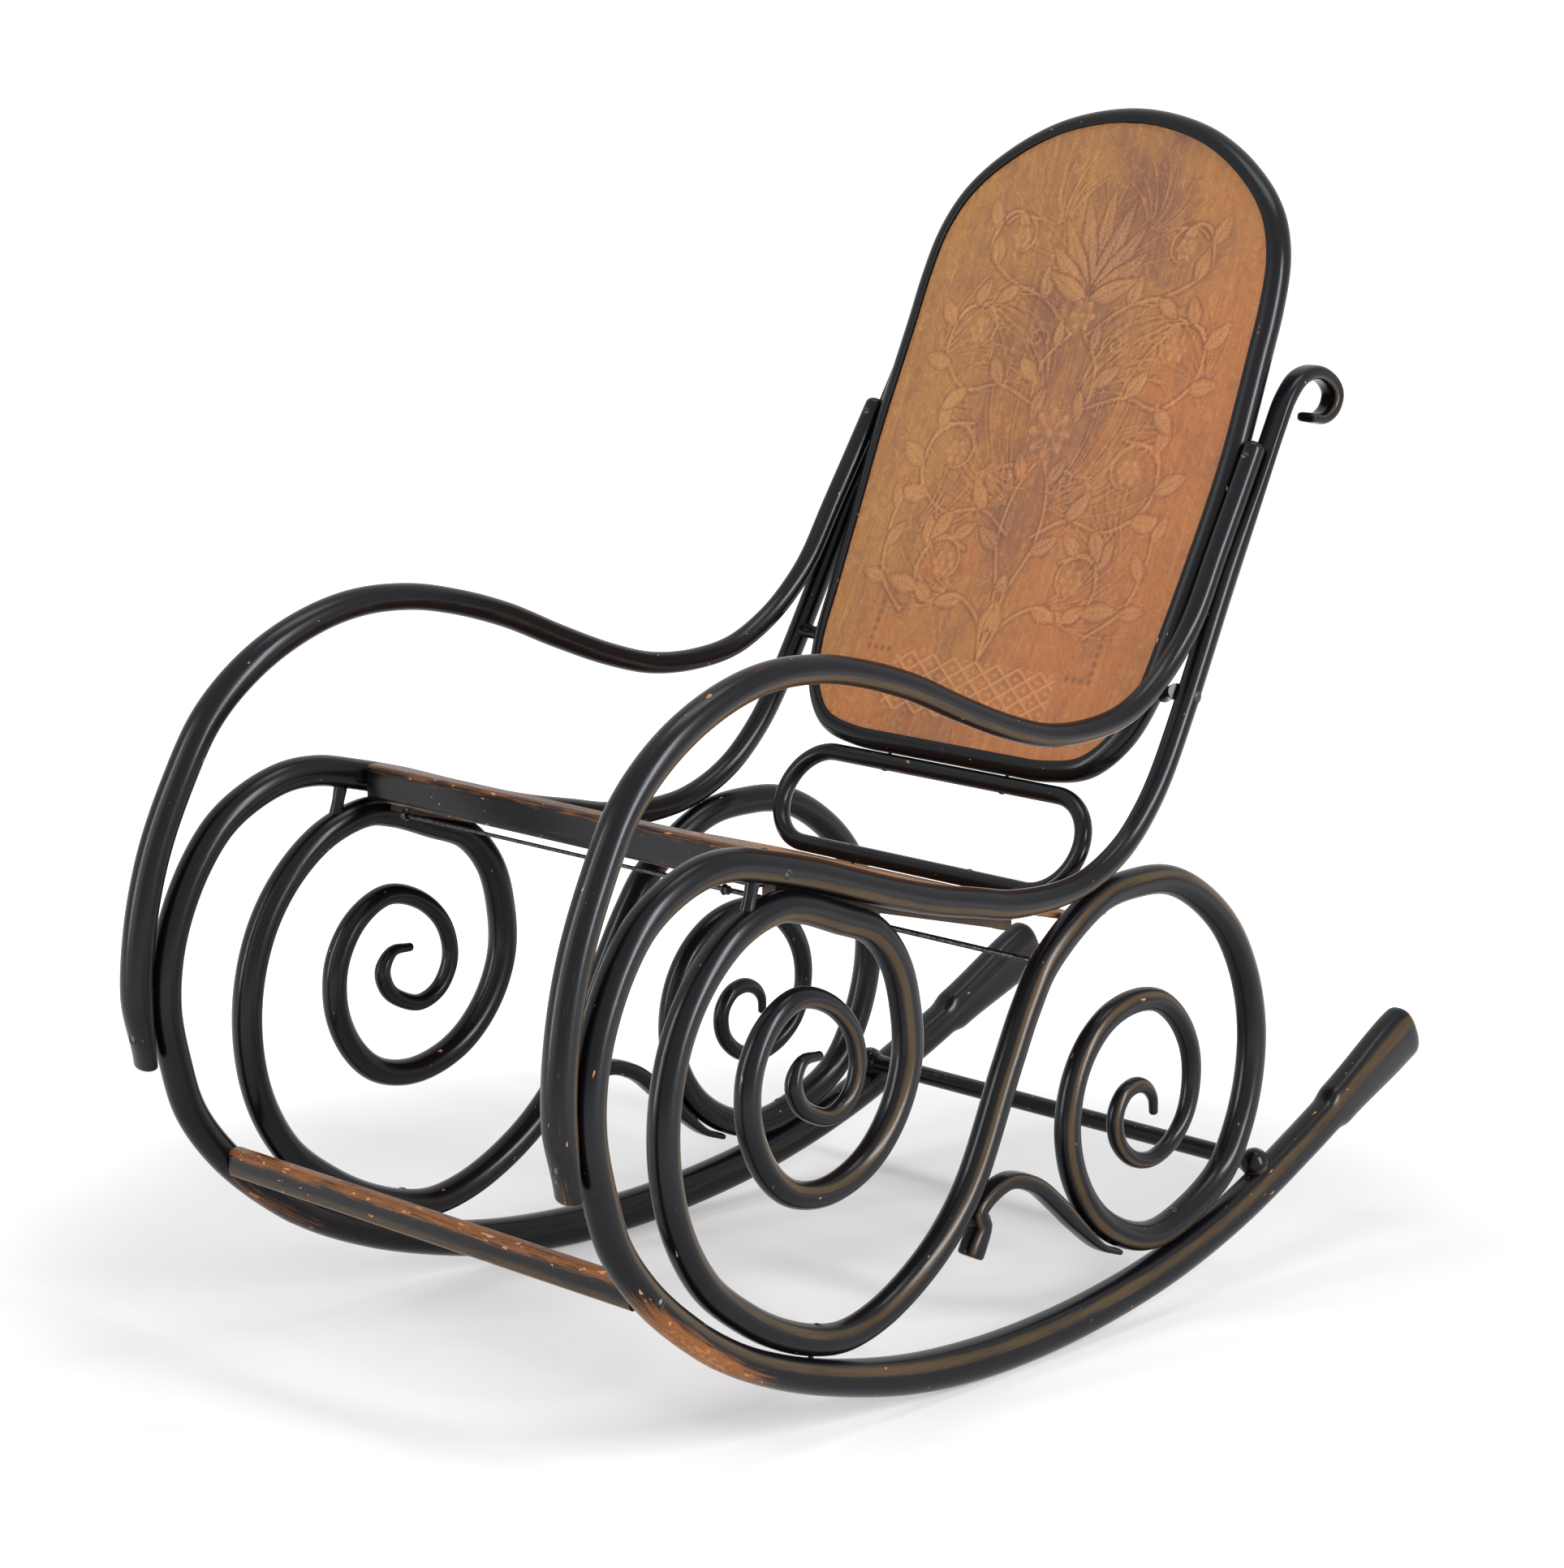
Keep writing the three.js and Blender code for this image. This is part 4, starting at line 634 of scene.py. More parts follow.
# Plain wood: pale along the grain's high places, and stained in blotches
def woodMaterial(name, look):
    material, tree = newMaterial(name)
    place = addNode(tree, "TexCoord").outputs["Object"]
    along, blotch = noises(tree, place, look)
    colour = coated(tree, look["deep"], (ranged(tree, along, *look["band"]), look["pale"]),
                    (ranged(tree, blotch, *look["stain"]), look["deep"]))
    finishShader(tree, colour, ranged(tree, along, *look["gloss"]),
                 bumped(tree, along, *look["bump"]), Specular_IOR_Level=0.3)
    return material


steelLook = {
    "bright": (0.075, 0.075, 0.08), "stained": (0.03, 0.026, 0.024),
    "noises": {"stain": ((320, 320, 320),), "scratch": ((2600, 260, 260), 3.0)},
    "band": (0.4, 0.62), "gloss": (0.3, 0.7, 0.3, 0.5), "bump": (0.00008, 0.4),
}


# Darkened steel: stains in its colour and gloss, and fine scratches
def steelMaterial(name, look):
    material, tree = newMaterial(name)
    place = addNode(tree, "TexCoord").outputs["Object"]
    stain, scratch = noises(tree, place, look)
    colour = coated(tree, look["bright"], (ranged(tree, stain, *look["band"]), look["stained"]))
    rough = weighed(tree, ranged(tree, stain, *look["gloss"]), 1, scratch, 0.1)
    finishShader(tree, colour, rough, bumped(tree, scratch, *look["bump"]), Metallic=1.0)
    return material


blackLacquer = lacquerMaterial("blackLacquer", lacquer)
slotMaterials = {
    "black_lacquer": blackLacquer, "worn_lacquer": blackLacquer,
    "tan_plywood": plyMaterial("tanPly", plyLook), "plain_wood": woodMaterial("plainWood", woodLook),
    "steel": steelMaterial("darkSteel", steelLook),
}
print("materials made")

# Rods of the side frames


# Painted warm reflection along a rod: the turn at which each brown line lies, its band and its strength;
# and the brown painted below
rodReflection = {
    "lines": [(0.55, (0.9, 0.995), 0.85), (np.pi - 0.3, (0.93, 0.995), 0.5)],
    "below": ((0.5, 1.0), 0.3),
}
handWear = {"left": 1, "right": 0.55}


# The painted warm reflection: the sum of steps of the cosine of the section's angle, and of how far it
# faces down
def reflectionOf(look, v):
    band, strength = look["below"]
    found = strength * smooth(v["down"], *band)
    for turn, band, strength in look["lines"]:
        found = found + strength * smooth(np.cos(v["angle"] + turn), *band)
    return np.clip(found, 0, 1)


# Each place adds a hump, or a rise and a fall along the length, times a step of the section's value
def wearOf(look, v):
    wear, tip, places = look
    wear = wear + tip * v["tip"]
    for strength, along, key, band in places:
        if len(along) == 2:
            spot = bump(v["share"], *along)
        else:
            spot = smooth(v["share"], *along[:2]) * smooth(-v["share"], -along[3], -along[2])
        wear = wear + strength * spot * smooth(v[key], *band)
    return wear


rods = [("side_rod", sideRod, chairSizes["rodOut"], (0, sideRod["splice"])),
        ("runner", sideRod, chairSizes["rodOut"], (sideRod["splice"], 1)),
        ("scroll_rod", scrollRod, 0.0, (0, 1)),
        ("armrest", armrest, chairSizes["armOut"], (0, 1)),
        ("runner_hook", runnerHook, 0.0, (0, 1))]
for hand, side in handSides.items():
    for name, rod, out, span in rods:
        points, quads, tris, grain, v = sweptRod(rod, out, side, span)
        wear = wearOf(rod["wear"], v) * handWear[hand]
        # under carries the painted warm reflection; wear is the real rubbing
        makePiece(f"{name}_{hand}", "bent", points, quads, tris, "black_lacquer",
                  {"grain": grain, "wear": wear, "under": reflectionOf(rodReflection, v)})
print("side frames made")

# The leaning surface of the back: x across, s up along it, lift forward of it
backSurface = {"footY": 0.168, "footZ": 0.472, "lean": np.radians(28.4), "radius": 4.0,
               "length": 0.606}


# The surface is an arc in the side plane: the ways up along it and forward of it, and the arc's angle
def backFrame(s):
    angle = backSurface["lean"] - np.asarray(s) / backSurface["radius"]
    zero = np.zeros_like(angle)
    return (np.stack([zero, np.sin(angle), np.cos(angle)], -1),
            np.stack([zero, -np.cos(angle), np.sin(angle)], -1), angle)


def backPoint(x, s, lift=0.0):
    b = backSurface
    x, s, lift = np.broadcast_arrays(np.asarray(x, float), s, lift)
    up, front, angle = backFrame(s)
    y = b["footY"] + b["radius"] * (np.cos(angle) - np.cos(b["lean"]))
    z = b["footZ"] + b["radius"] * (np.sin(b["lean"]) - np.sin(angle))
    return np.stack([x, y, z], -1) + front * lift[..., None]


backHoop = {
    "thick": 0.025, "rabbet": 0.0035, "postThick": 0.021, "postZ": 0.722, "rings": 520, "sides": 32,
    # under: the band over which the painted warm reflection comes in as the section faces down
    "wear": 0.12, "under": (0.1, 1.1), "crease": 40,
    "shares": [
        (0, 0), (0.3, 0), (0.57, 0.002), (0.76, 0.018), (0.885, 0.065), (0.945, 0.13),
        (0.965, 0.22), (0.982, 0.33), (0.996, 0.43), (1, 0.5), (0.993, 0.58), (0.984, 0.66),
        (0.977, 0.729), (0.955, 0.79), (0.92, 0.828), (0.868, 0.862), (0.79, 0.894),
        (0.686, 0.924), (0.56, 0.952), (0.4, 0.977), (0.2, 0.994), (0, 1)],
}
backPanel = {
    "thick": 0.004, "lift": 0.0075, "fit": 0.00035, "endGap": 0.0004, "edgeSteps": 1500,
    "rows": 380, "columns": 250, "endRows": 0.12,  # how much closer the rows lie at the ends
    "fade": (0.004, 0.01), "warmth": (0.45, 1.6, -1.1), "warmthFrom": 0.3,
}


def hoopLine(h):
    post = at(sideRod["line"], onSide("post", 2, h["postZ"]))
    half = (sideX(post[1], post[2], chairSizes["rodOut"]) - h["postThick"] / 2
            - h["thick"] / 2 - chairSizes["gap"])
    right = [np.array([u * half, v * backSurface["length"], 0.0]) for u, v in h["shares"]]
    left = [p * (-1, 1, 1) for p in right[-2:0:-1]]
    return bentLine(right + left, closed=True)


backHoop["line"] = hoopLine(backHoop)


# A closed tube on the back's surface, whose section lies a outwards and b forward of its middle line
def makeBackTube(node, p, x, s, outX, outS, a, b, run):
    up, front, _ = backFrame(s)
    out = np.stack([outX, 0 * s, 0 * s], -1) + up * outS[:, None]
    points = backPoint(x, s)[:, None] + out[:, None] * a[:, None] + front[:, None] * b[:, None]
    if run is None:
        steps = np.linalg.norm(np.diff(points.mean(1), axis=0), axis=1)
        run = np.concatenate([[0], np.cumsum(steps)])
    run = run[:, None] + 0 * a
    grain = np.stack([run, a + 0 * run, b + 0 * run], -1).reshape(-1, 3)
    down = np.clip(-(out[:, None, 2] * a + front[:, None, 2] * b) / (p["thick"] / 2), -1, 1).ravel()
    quads, tris = tubeFaces(len(points), len(a), True)
    # The under value paints a warm reflection on the faces that look down
    makePiece(node, "bent", points.reshape(-1, 3) + standAt, quads, tris, "black_lacquer",
              {"grain": grain, "wear": np.full(down.shape, p["wear"]),
               "under": smooth(down, *p["under"])}, p["crease"])


# The hoop's section is round, and its front is cut away inside to seat the panel's edge
def makeHoop(h, panel):
    line, half = h["line"], h["thick"] / 2
    share = np.linspace(0, 1, h["rings"], endpoint=False)
    centre, way = at(line, share), at(line, share, "way")
    floor = panel["lift"] - panel["thick"] / 2 - panel["fit"]
    angle = np.linspace(-np.pi - np.arcsin(floor / half), np.pi / 2 + np.arcsin(h["rabbet"] / half),
                        h["sides"])
    makeBackTube("back_hoop", h, centre[:, 0], centre[:, 1], way[:, 1], -way[:, 0],
                 np.append(half * np.cos(angle), -h["rabbet"]), np.append(half * np.sin(angle), floor),
                 share * line["length"])


makeHoop(backHoop, backPanel)

# Lumbar loop: two straight rods joined by half circles, hung under the hoop
lumbarLoop = {"thick": 0.016, "halfWidth": 0.181, "radius": 0.045, "sides": 28, "rings": 60,
              # under: the band over which the painted warm reflection comes in as the section faces down
              "wear": 0.14, "under": (0.0, 1.0), "crease": 50}
loopTopS = -(backHoop["thick"] / 2 + lumbarLoop["thick"] / 2 + chairSizes["gap"])
loopBottomS = loopTopS - 2 * lumbarLoop["radius"]


# Half circle, straight, half circle, straight, each with the angle of its outward way
def makeLoop(p):
    straight, middle = p["halfWidth"] - p["radius"], loopTopS - p["radius"]
    turn = np.linspace(-np.pi / 2, np.pi / 2, p["rings"], endpoint=False)
    run = np.linspace(0, 1, p["rings"], endpoint=False)
    x = np.concatenate([straight + p["radius"] * np.cos(turn), straight * (1 - 2 * run),
                        -straight - p["radius"] * np.cos(turn), straight * (2 * run - 1)])
    s = np.concatenate([middle + p["radius"] * np.sin(turn), 0 * run + middle + p["radius"],
                        middle - p["radius"] * np.sin(turn), 0 * run + middle - p["radius"]])
    angle = np.concatenate([turn, 0 * run + np.pi / 2, np.pi + turn, 0 * run - np.pi / 2])
    c, q, _ = unitSection(p["sides"], np.full(1, 2.0))
    makeBackTube("lumbar_loop", p, x, s, np.cos(angle), np.sin(angle), c[0] * p["thick"] / 2,
                 q[0] * p["thick"] / 2, None)


makeLoop(lumbarLoop)
print("hoop and loop made")

# Ornament pressed into the panel, in metres: x across, s up from the hoop's foot
ornament = {
    # widths of lines are in shares of the plain line's
    "line": 0.00105, "depth": 0.0009, "plumeLine": 0.9, "plumeHeight": 0.62, "stemLine": 1.25,
    "lattice": {"low": 0.026, "high": 0.083, "half": 0.097, "wide": 0.026, "tall": 0.019,
                "bold": 1.45, "line": 1.3, "slope": 0.6, "stud": 0.0026},
    "dots": {"pitch": 0.0085, "radius": 0.0022, "low": 0.082, "high": 0.128, "x": 0.134,
             "inner": 0.103, "outer": 0.135, "margin": 0.002, "depth": 1.1},
    # base x and s, first and last direction, length, how far each stroke turns, strokes
    "plumes": [
        (0.012, 0.235, 1.25, 0.1, 0.15, 0.9, 17), (0.02, 0.335, 1.35, 0.25, 0.13, -1.1, 16),
        (0.125, 0.42, 2.6, 4.1, 0.1, 0.9, 13), (0.05, 0.145, 0.9, -0.35, 0.115, 1.0, 13),
        (0.0, 0.44, 1.5, 0.45, 0.11, -0.5, 12), (0.13, 0.2, 1.9, 3.1, 0.085, -0.9, 11),
        (0.145, 0.31, 2.1, 3.6, 0.075, 1.1, 10), (0.05, 0.5, 2.2, 0.4, 0.075, 0.8, 12),
        (0.07, 0.27, 3.0, 4.6, 0.07, -0.8, 10), (0.16, 0.36, 1.4, 2.9, 0.1, 0.7, 11)],
    # points of the stems' middle lines
    "stems": [
        [(0.0, 0.085), (0.014, 0.12), (0.05, 0.142), (0.09, 0.132), (0.108, 0.165), (0.088, 0.196),
         (0.058, 0.186)],
        [(0.0, 0.085), (0.006, 0.15), (0.022, 0.2), (0.018, 0.25), (0.0, 0.285)],
        [(0.014, 0.205), (0.05, 0.225), (0.1, 0.22), (0.138, 0.252), (0.13, 0.298), (0.092, 0.306)],
        [(0.0, 0.29), (0.03, 0.325), (0.032, 0.37), (0.008, 0.4)],
        [(0.03, 0.33), (0.075, 0.345), (0.118, 0.338), (0.15, 0.37), (0.144, 0.412), (0.108, 0.424)],
        [(0.01, 0.4), (0.05, 0.43), (0.098, 0.446), (0.132, 0.474), (0.118, 0.51), (0.084, 0.506)],
        [(0.112, 0.12), (0.145, 0.15), (0.156, 0.2), (0.15, 0.24)],
    ],
    # the leaves on each stem: share of its length, hand, lean, length, width
    "leaves": [
        [(0.12, 1, 0.7, 0.036, 0.008), (0.3, -1, 0.6, 0.034, 0.008), (0.46, 1, 0.9, 0.03, 0.007),
         (0.58, -1, 0.8, 0.04, 0.009), (0.75, -1, 0.9, 0.034, 0.008), (0.9, -1, 1.0, 0.03, 0.007)],
        [(0.25, 1, 0.8, 0.03, 0.007), (0.45, -1, 0.7, 0.034, 0.008), (0.8, -1, 0.9, 0.03, 0.007)],
        [(0.2, 1, 0.8, 0.036, 0.008), (0.35, -1, 0.9, 0.034, 0.008), (0.5, -1, 0.7, 0.038, 0.009),
         (0.65, -1, 0.9, 0.038, 0.009), (0.8, -1, 0.9, 0.032, 0.008)],
        [(0.3, 1, 0.8, 0.03, 0.007), (0.55, -1, 0.9, 0.034, 0.008), (0.85, -1, 0.8, 0.028, 0.006)],
        [(0.2, 1, 0.9, 0.034, 0.008), (0.38, -1, 0.8, 0.034, 0.008), (0.55, -1, 0.7, 0.034, 0.008),
         (0.72, -1, 0.9, 0.036, 0.008), (0.88, -1, 0.9, 0.03, 0.007)],
        [(0.2, 1, 0.9, 0.034, 0.008), (0.35, -1, 0.9, 0.032, 0.007), (0.5, 1, 0.7, 0.034, 0.008),
         (0.7, -1, 0.8, 0.032, 0.008), (0.88, 1, 0.8, 0.024, 0.006)],
        [(0.3, -1, 0.7, 0.03, 0.007), (0.55, 1, 0.7, 0.03, 0.007), (0.8, -1, 0.5, 0.028, 0.006)],
    ],
    # centre, first and last radius, first direction, turns, hand
    "curls": [
        ((0.078, 0.17), 0.03, 0.006, 0.2, 1.4, 1), ((0.104, 0.277), 0.032, 0.006, 0.4, 1.5, 1),
        ((0.118, 0.395), 0.031, 0.006, 0.3, 1.4, 1), ((0.098, 0.487), 0.026, 0.006, 0.5, 1.3, 1),
        ((0.034, 0.262), 0.014, 0.003, 3.6, 1.3, -1), ((0.046, 0.392), 0.014, 0.003, 3.4, 1.2, -1),
    ],
    # direction and length of each leaf of the fan on top
    "fan": [(1.5708, 0.115), (1.3, 0.108), (1.02, 0.094), (0.74, 0.078), (0.46, 0.06)],
    "fanBase": (0.0, 0.43), "fanWide": 0.0095,
    # centre, radius, petals
    "rosettes": [
        ((0.0, 0.305), 0.024, 8), ((0.104, 0.277), 0.012, 6), ((0.078, 0.17), 0.012, 6),
        ((0.118, 0.395), 0.012, 6), ((0.098, 0.487), 0.01, 6), ((0.0, 0.418), 0.014, 6)],
    # darker clouds of the old veneer: centre, width, strength
    "clouds": [
        ((0.0, 0.47), 0.075, 0.36), ((-0.03, 0.38), 0.06, 0.3), ((0.0, 0.29), 0.08, 0.3),
        ((0.03, 0.55), 0.07, 0.3), ((-0.03, 0.2), 0.05, 0.16), ((0.0, 0.1), 0.08, 0.1)],
}


# Height of a raised line: a bell-shaped ridge with a shallow furrow on both sides
def ridge(distance, wide, furrow=0.42, away=2.1):
    return np.exp(-(distance / wide) ** 2) - furrow * np.exp(-((distance - away * wide) / wide) ** 2)


# A ridge over the distance to the stroke's nearest stretch; where lines cross, the higher one is kept
def strokeHeight(x, s, stroke, wide, height, reach=5, furrowLimit=0.2):
    low, high = stroke.min(0) - reach * wide, stroke.max(0) + reach * wide
    near = (x > low[0]) & (x < high[0]) & (s > low[1]) & (s < high[1])
    q = np.stack([x[near], s[near]], -1)
    a, b = stroke[:-1], stroke[1:]
    d = b - a
    t = np.clip(np.einsum("nkj,kj->nk", q[:, None] - a, d) / (d ** 2).sum(1), 0, 1)
    gap = np.linalg.norm(q[:, None] - a - t[..., None] * d, axis=2).min(1)
    found = ridge(gap, wide)
    held = height[near]
    height[near] = np.where(found > 0, np.maximum(held, found), held + found * (held < furrowLimit))


# A leaf is as wide as a sine hump along its length, crowned, with a midrib and slanting veins
def leafHeight(x, s, base, turn, long, wide, height, crown=0.75, vein=0.22, veinStep=0.0052, slant=0.9,
               rib=0.7, ribWide=0.0008, rim=0.002, dip=0.35):
    c, k = np.cos(turn), np.sin(turn)
    u = ((x - base[0]) * c + (s - base[1]) * k) / long
    v = -(x - base[0]) * k + (s - base[1]) * c
    inside = (u > 0) & (u < 1)
    edge = wide * np.sin(np.pi * np.clip(u, 0, 1) ** 0.8) + 1e-9
    across = np.abs(v) / edge
    shape = inside & (across < 1)
    body = crown * np.sqrt(np.clip(1 - across ** 2, 0, 1)) - rib * np.exp(-(v / ribWide) ** 2)
    body += vein * np.cos(2 * np.pi * (u * long - slant * np.abs(v)) / veinStep)
    height[shape] = np.maximum(height, body)[shape]
    around = inside & (across >= 1) & (np.abs(v) - edge < rim)
    height[around] = np.minimum(height, -dip)[around]


# A rosette: petals round a button, their height a cosine of the angle
def rosetteHeight(x, s, centre, radius, petals, height, lobes=0.18, button=0.24, line=0.0011, reach=1.25):
    r = np.hypot(x - centre[0], s - centre[1]) / radius
    wave = np.cos(petals * np.arctan2(s - centre[1], x - centre[0]))
    lobe = 1 - lobes + lobes * wave
    body = np.where(r < lobe, 0.35 + 0.5 * wave * (r > 0.25) * np.clip(r, 0, 1), 0)
    knob = np.where(r < button, 0.9 * np.sqrt(np.clip(1 - (r / button) ** 2, 0, 1)), 0)
    found = np.maximum(np.maximum(body, ridge((r - lobe) * radius, line)), knob)
    near = r < reach
    height[near] = found[near]


# Each stroke of a plume leaves the base in its own direction and turns evenly along its length
def plumeStrokes(baseX, baseS, first, last, long, bend, count, points=14,
                 pivot=0.35, uneven=0.22, beat=2.3):
    for k, turn in enumerate(np.linspace(first, last, count)):
        t = np.linspace(0, 1, points)
        way = turn + bend * (t - pivot)
        reach = long * (1 - uneven + uneven * np.cos(beat * k)) / (points - 1)
        x = baseX + np.concatenate([[0], np.cumsum(np.cos(way[:-1]) * reach)])
        s = baseS + np.concatenate([[0], np.cumsum(np.sin(way[:-1]) * reach)])
        yield np.stack([x, s], -1)[2:]


# A spiral whose radius shrinks by the same factor in each step
def spiral(centre, big, small, start, turns, hand, points=70):
    t = np.linspace(0, 1, points)
    angle = start + hand * t * turns * 2 * np.pi
    radius = big * (small / big) ** t
    return np.stack([centre[0] + radius * np.cos(angle), centre[1] + radius * np.sin(angle)], -1)


def smoothStroke(points):
    line = bentLine([(x, s, 0) for x, s in points], samples=10)
    return line["points"][:, :2]


def addLeaves(x, s, height, stroke, rows):
    step = np.gradient(stroke, axis=0)
    for share, hand, lean, long, wide in rows:
        k = int(share * (len(stroke) - 1))
        turn = np.arctan2(step[k, 1], step[k, 0]) + hand * lean
        leafHeight(x, s, stroke[k], turn, long, wide, height)


# Half of the ornament is drawn and mirrored: scrolling stems with leaves, rosettes and a fan on top
def drawOrnament(x, s, look):
    x = np.abs(x)
    height = np.zeros_like(x)
    for plume in look["plumes"]:
        for stroke in plumeStrokes(*plume):
            strokeHeight(x, s, stroke, look["line"] * look["plumeLine"], height)
    height *= look["plumeHeight"]
    strokes = [smoothStroke(p) for p in look["stems"]]
    for stroke in strokes:
        strokeHeight(x, s, stroke, look["line"] * look["stemLine"], height)
    for curl in look["curls"]:
        strokeHeight(x, s, spiral(*curl), look["line"], height)
    for stroke, rows in zip(strokes, look["leaves"]):
        addLeaves(x, s, height, stroke, rows)
    for turn, long in look["fan"]:
        leafHeight(x, s, look["fanBase"], turn, long, look["fanWide"], height)
    for rosette in look["rosettes"]:
        rosetteHeight(x, s, *rosette, height)
    lattice = look["lattice"]
    inBand = (s > lattice["low"]) & (s < lattice["high"]) & (x < lattice["half"])
    rise = (s - lattice["low"]) / lattice["tall"]
    u, v = x / lattice["wide"] + rise, x / lattice["wide"] - rise
    away = lambda q: np.abs(q - np.round(q)) * lattice["wide"] * lattice["slope"]
    wire = look["line"] * lattice["line"]
    woven = lattice["bold"] * np.maximum(ridge(away(u), wire), ridge(away(v), wire))
    studs = np.exp(-((away(u - 0.5) ** 2 + away(v - 0.5) ** 2) / lattice["stud"] ** 2))
    height = np.where(inBand, np.maximum(woven, studs), height)
    dots = look["dots"]
    along = (s - dots["low"]) / dots["pitch"]
    dotS = (along - np.round(along)) * dots["pitch"]
    column = np.exp(-(((x - dots["x"]) ** 2 + dotS ** 2) / dots["radius"] ** 2))
    column *= (s > dots["low"] - dots["margin"]) & (s < dots["high"] + dots["margin"])
    across = (x - dots["x"]) / dots["pitch"]
    dotX = (across - np.round(across)) * dots["pitch"]
    row = np.exp(-((dotX ** 2 + (s - dots["low"]) ** 2) / dots["radius"] ** 2))
    row *= (x > dots["inner"]) & (x < dots["outer"])
    return height - dots["depth"] * np.maximum(column, row)


# The sum of low bell-shaped hills
def cloudAt(x, s, spots):
    return sum(strength * np.exp(-((x - c[0]) ** 2 + (s - c[1]) ** 2) / wide ** 2)
               for c, wide, strength in spots)


# Rows run across from edge to edge of the hoop; the front is pressed and the back is smooth
def makePanel(p, h, look):
    line, rows, columns = h["line"], p["rows"], p["columns"]
    share = np.linspace(0, 0.5, p["edgeSteps"])
    centre, way = at(line, share), at(line, share, "way")
    inset = h["rabbet"] + p["fit"]
    edgeX, edgeS = centre[:, 0] - way[:, 1] * inset, centre[:, 1] + way[:, 0] * inset
    order = np.argsort(edgeS)
    sLow, sHigh = edgeS[order][0] + p["endGap"], edgeS[order][-1] - p["endGap"]
    t = np.linspace(0, 1, rows)
    eased = 0.5 - 0.5 * np.cos(np.pi * t)
    s = sLow + (sHigh - sLow) * (eased * p["endRows"] + t * (1 - p["endRows"]))
    half = np.interp(s, edgeS[order], edgeX[order])
    u = np.linspace(-1, 1, columns)
    x, sGrid = half[:, None] * u, s[:, None] + 0 * u
    height = drawOrnament(x, sGrid, look)
    across, along = half[:, None] * (1 - np.abs(u)), np.minimum(sGrid - sLow, sHigh - sGrid)
    height *= smooth(np.minimum(across, along), *p["fade"])
    front = backPoint(x, sGrid, p["lift"] + p["thick"] / 2 + height * look["depth"])
    faces, rim = gridFaces(rows, columns)
    n, m, around = rows * columns, len(rim), np.arange(len(rim))
    following = np.roll(around, -1)
    backRim = backPoint(x.ravel()[rim], sGrid.ravel()[rim], p["lift"] - p["thick"] / 2)
    quads = [faces, np.stack([rim, n + around, n + following, rim[following]], -1)]
    # The back is flat across, so it closes in strips from the left rim to the right rim
    right = n + columns - 1 + np.arange(rows)
    left = np.concatenate([[n], n + m - np.arange(1, rows)])
    quads.append(np.stack([left[:-1], left[1:], right[1:], right[:-1]], -1)[1:-1])
    foot, top = n + np.arange(columns), right[-1] + np.arange(columns)
    fan = lambda tip, row: np.stack([np.full(columns - 1, tip), row[1:], row[:-1]], -1)
    tris = [fan(left[1], foot), [[left[1], right[1], foot[-1]]],
            fan(left[-2], top), [[left[-2], top[0], right[-2]]]]
    points = np.concatenate([front.reshape(-1, 3), backRim]) + standAt
    gx, gs = (np.concatenate([v.ravel(), v.ravel()[rim]]) for v in (x, sGrid))
    base, byX, byS = p["warmth"]
    makePiece("back_panel", "pressed", points, np.concatenate(quads), np.concatenate(tris),
              "tan_plywood",
              {"grain": np.stack([gx, gs, 0 * gx], -1), "cloud": cloudAt(gx, gs, look["clouds"]),
               "warmth": base + byX * gx + byS * (gs - p["warmthFrom"]),
               "relief": np.concatenate([height.ravel(), np.zeros(m)])}, crease=60)


makePanel(backPanel, backHoop, ornament)
print("panel made")

# Seat: plywood between the side rods, from the front rail down to the loop's bottom rod
seat = {
    "thick": 0.006, "frontZ": 0.475, "frontY": -0.299, "corner": 0.082, "rearMargin": 0.012,
    "sideGap": 0.001, "railThick": 0.027, "ease": 0.0012, "sideSteps": 30, "cornerSteps": 24,
    "cloud": 0.1, "warmth": 0.3,
}
loopUnder = (backPoint(0.0, loopBottomS)[2] - lumbarLoop["thick"] / 2 / np.cos(np.pi / 8)
             - chairSizes["gap"])
loopBottomY = backPoint(0.0, loopBottomS)[1]
seat["slope"] = (seat["frontZ"] - loopUnder) / (loopBottomY - seat["frontY"])


# The outline shrinks by the ease at both faces; the top falls by the slope towards the back
def makeSeat(p):
    rear = loopBottomY + p["rearMargin"]
    top = lambda y: p["frontZ"] - (y - p["frontY"]) * p["slope"]
    edge = lambda y: sideX(y, top(y)) - p["railThick"] / 2 - p["sideGap"]
    turn = np.linspace(0, np.pi / 2, p["cornerSteps"])
    cornerY, sides = rear - p["corner"], p["sideSteps"]
    y = np.concatenate([np.linspace(p["frontY"], cornerY, sides, endpoint=False),
                        cornerY + p["corner"] * np.sin(turn)])
    x = np.concatenate([edge(y[:sides]), edge(cornerY) - p["corner"] * (1 - np.cos(turn))])
    x, y = np.concatenate([x, -x[::-1]]), np.concatenate([y, y[::-1]])
    middle = (p["frontY"] + rear) / 2
    rings = []
    for depth, inset in ((0, p["ease"]), (p["ease"], 0), (p["thick"] - p["ease"], 0),
                         (p["thick"], p["ease"])):
        k = 1 - inset / np.hypot(x, y - middle)
        rx, ry = x * k, middle + (y - middle) * k
        rings.append(np.stack([rx, ry, top(ry) - depth], -1))
    rings = np.stack(rings)
    caps = np.array([[0, middle, top(middle)], [0, middle, top(middle) - p["thick"]]])
    points = np.concatenate([rings.reshape(-1, 3), caps])
    quads, tris = tubeFaces(4, len(x), False)
    zero = np.zeros(len(points))
    makePiece("seat_panel", "flat", points + standAt, quads, tris, "tan_plywood",
              {"grain": points, "relief": zero, "cloud": zero + p["cloud"], "warmth": zero + p["warmth"]},
              crease=30)


makeSeat(seat)

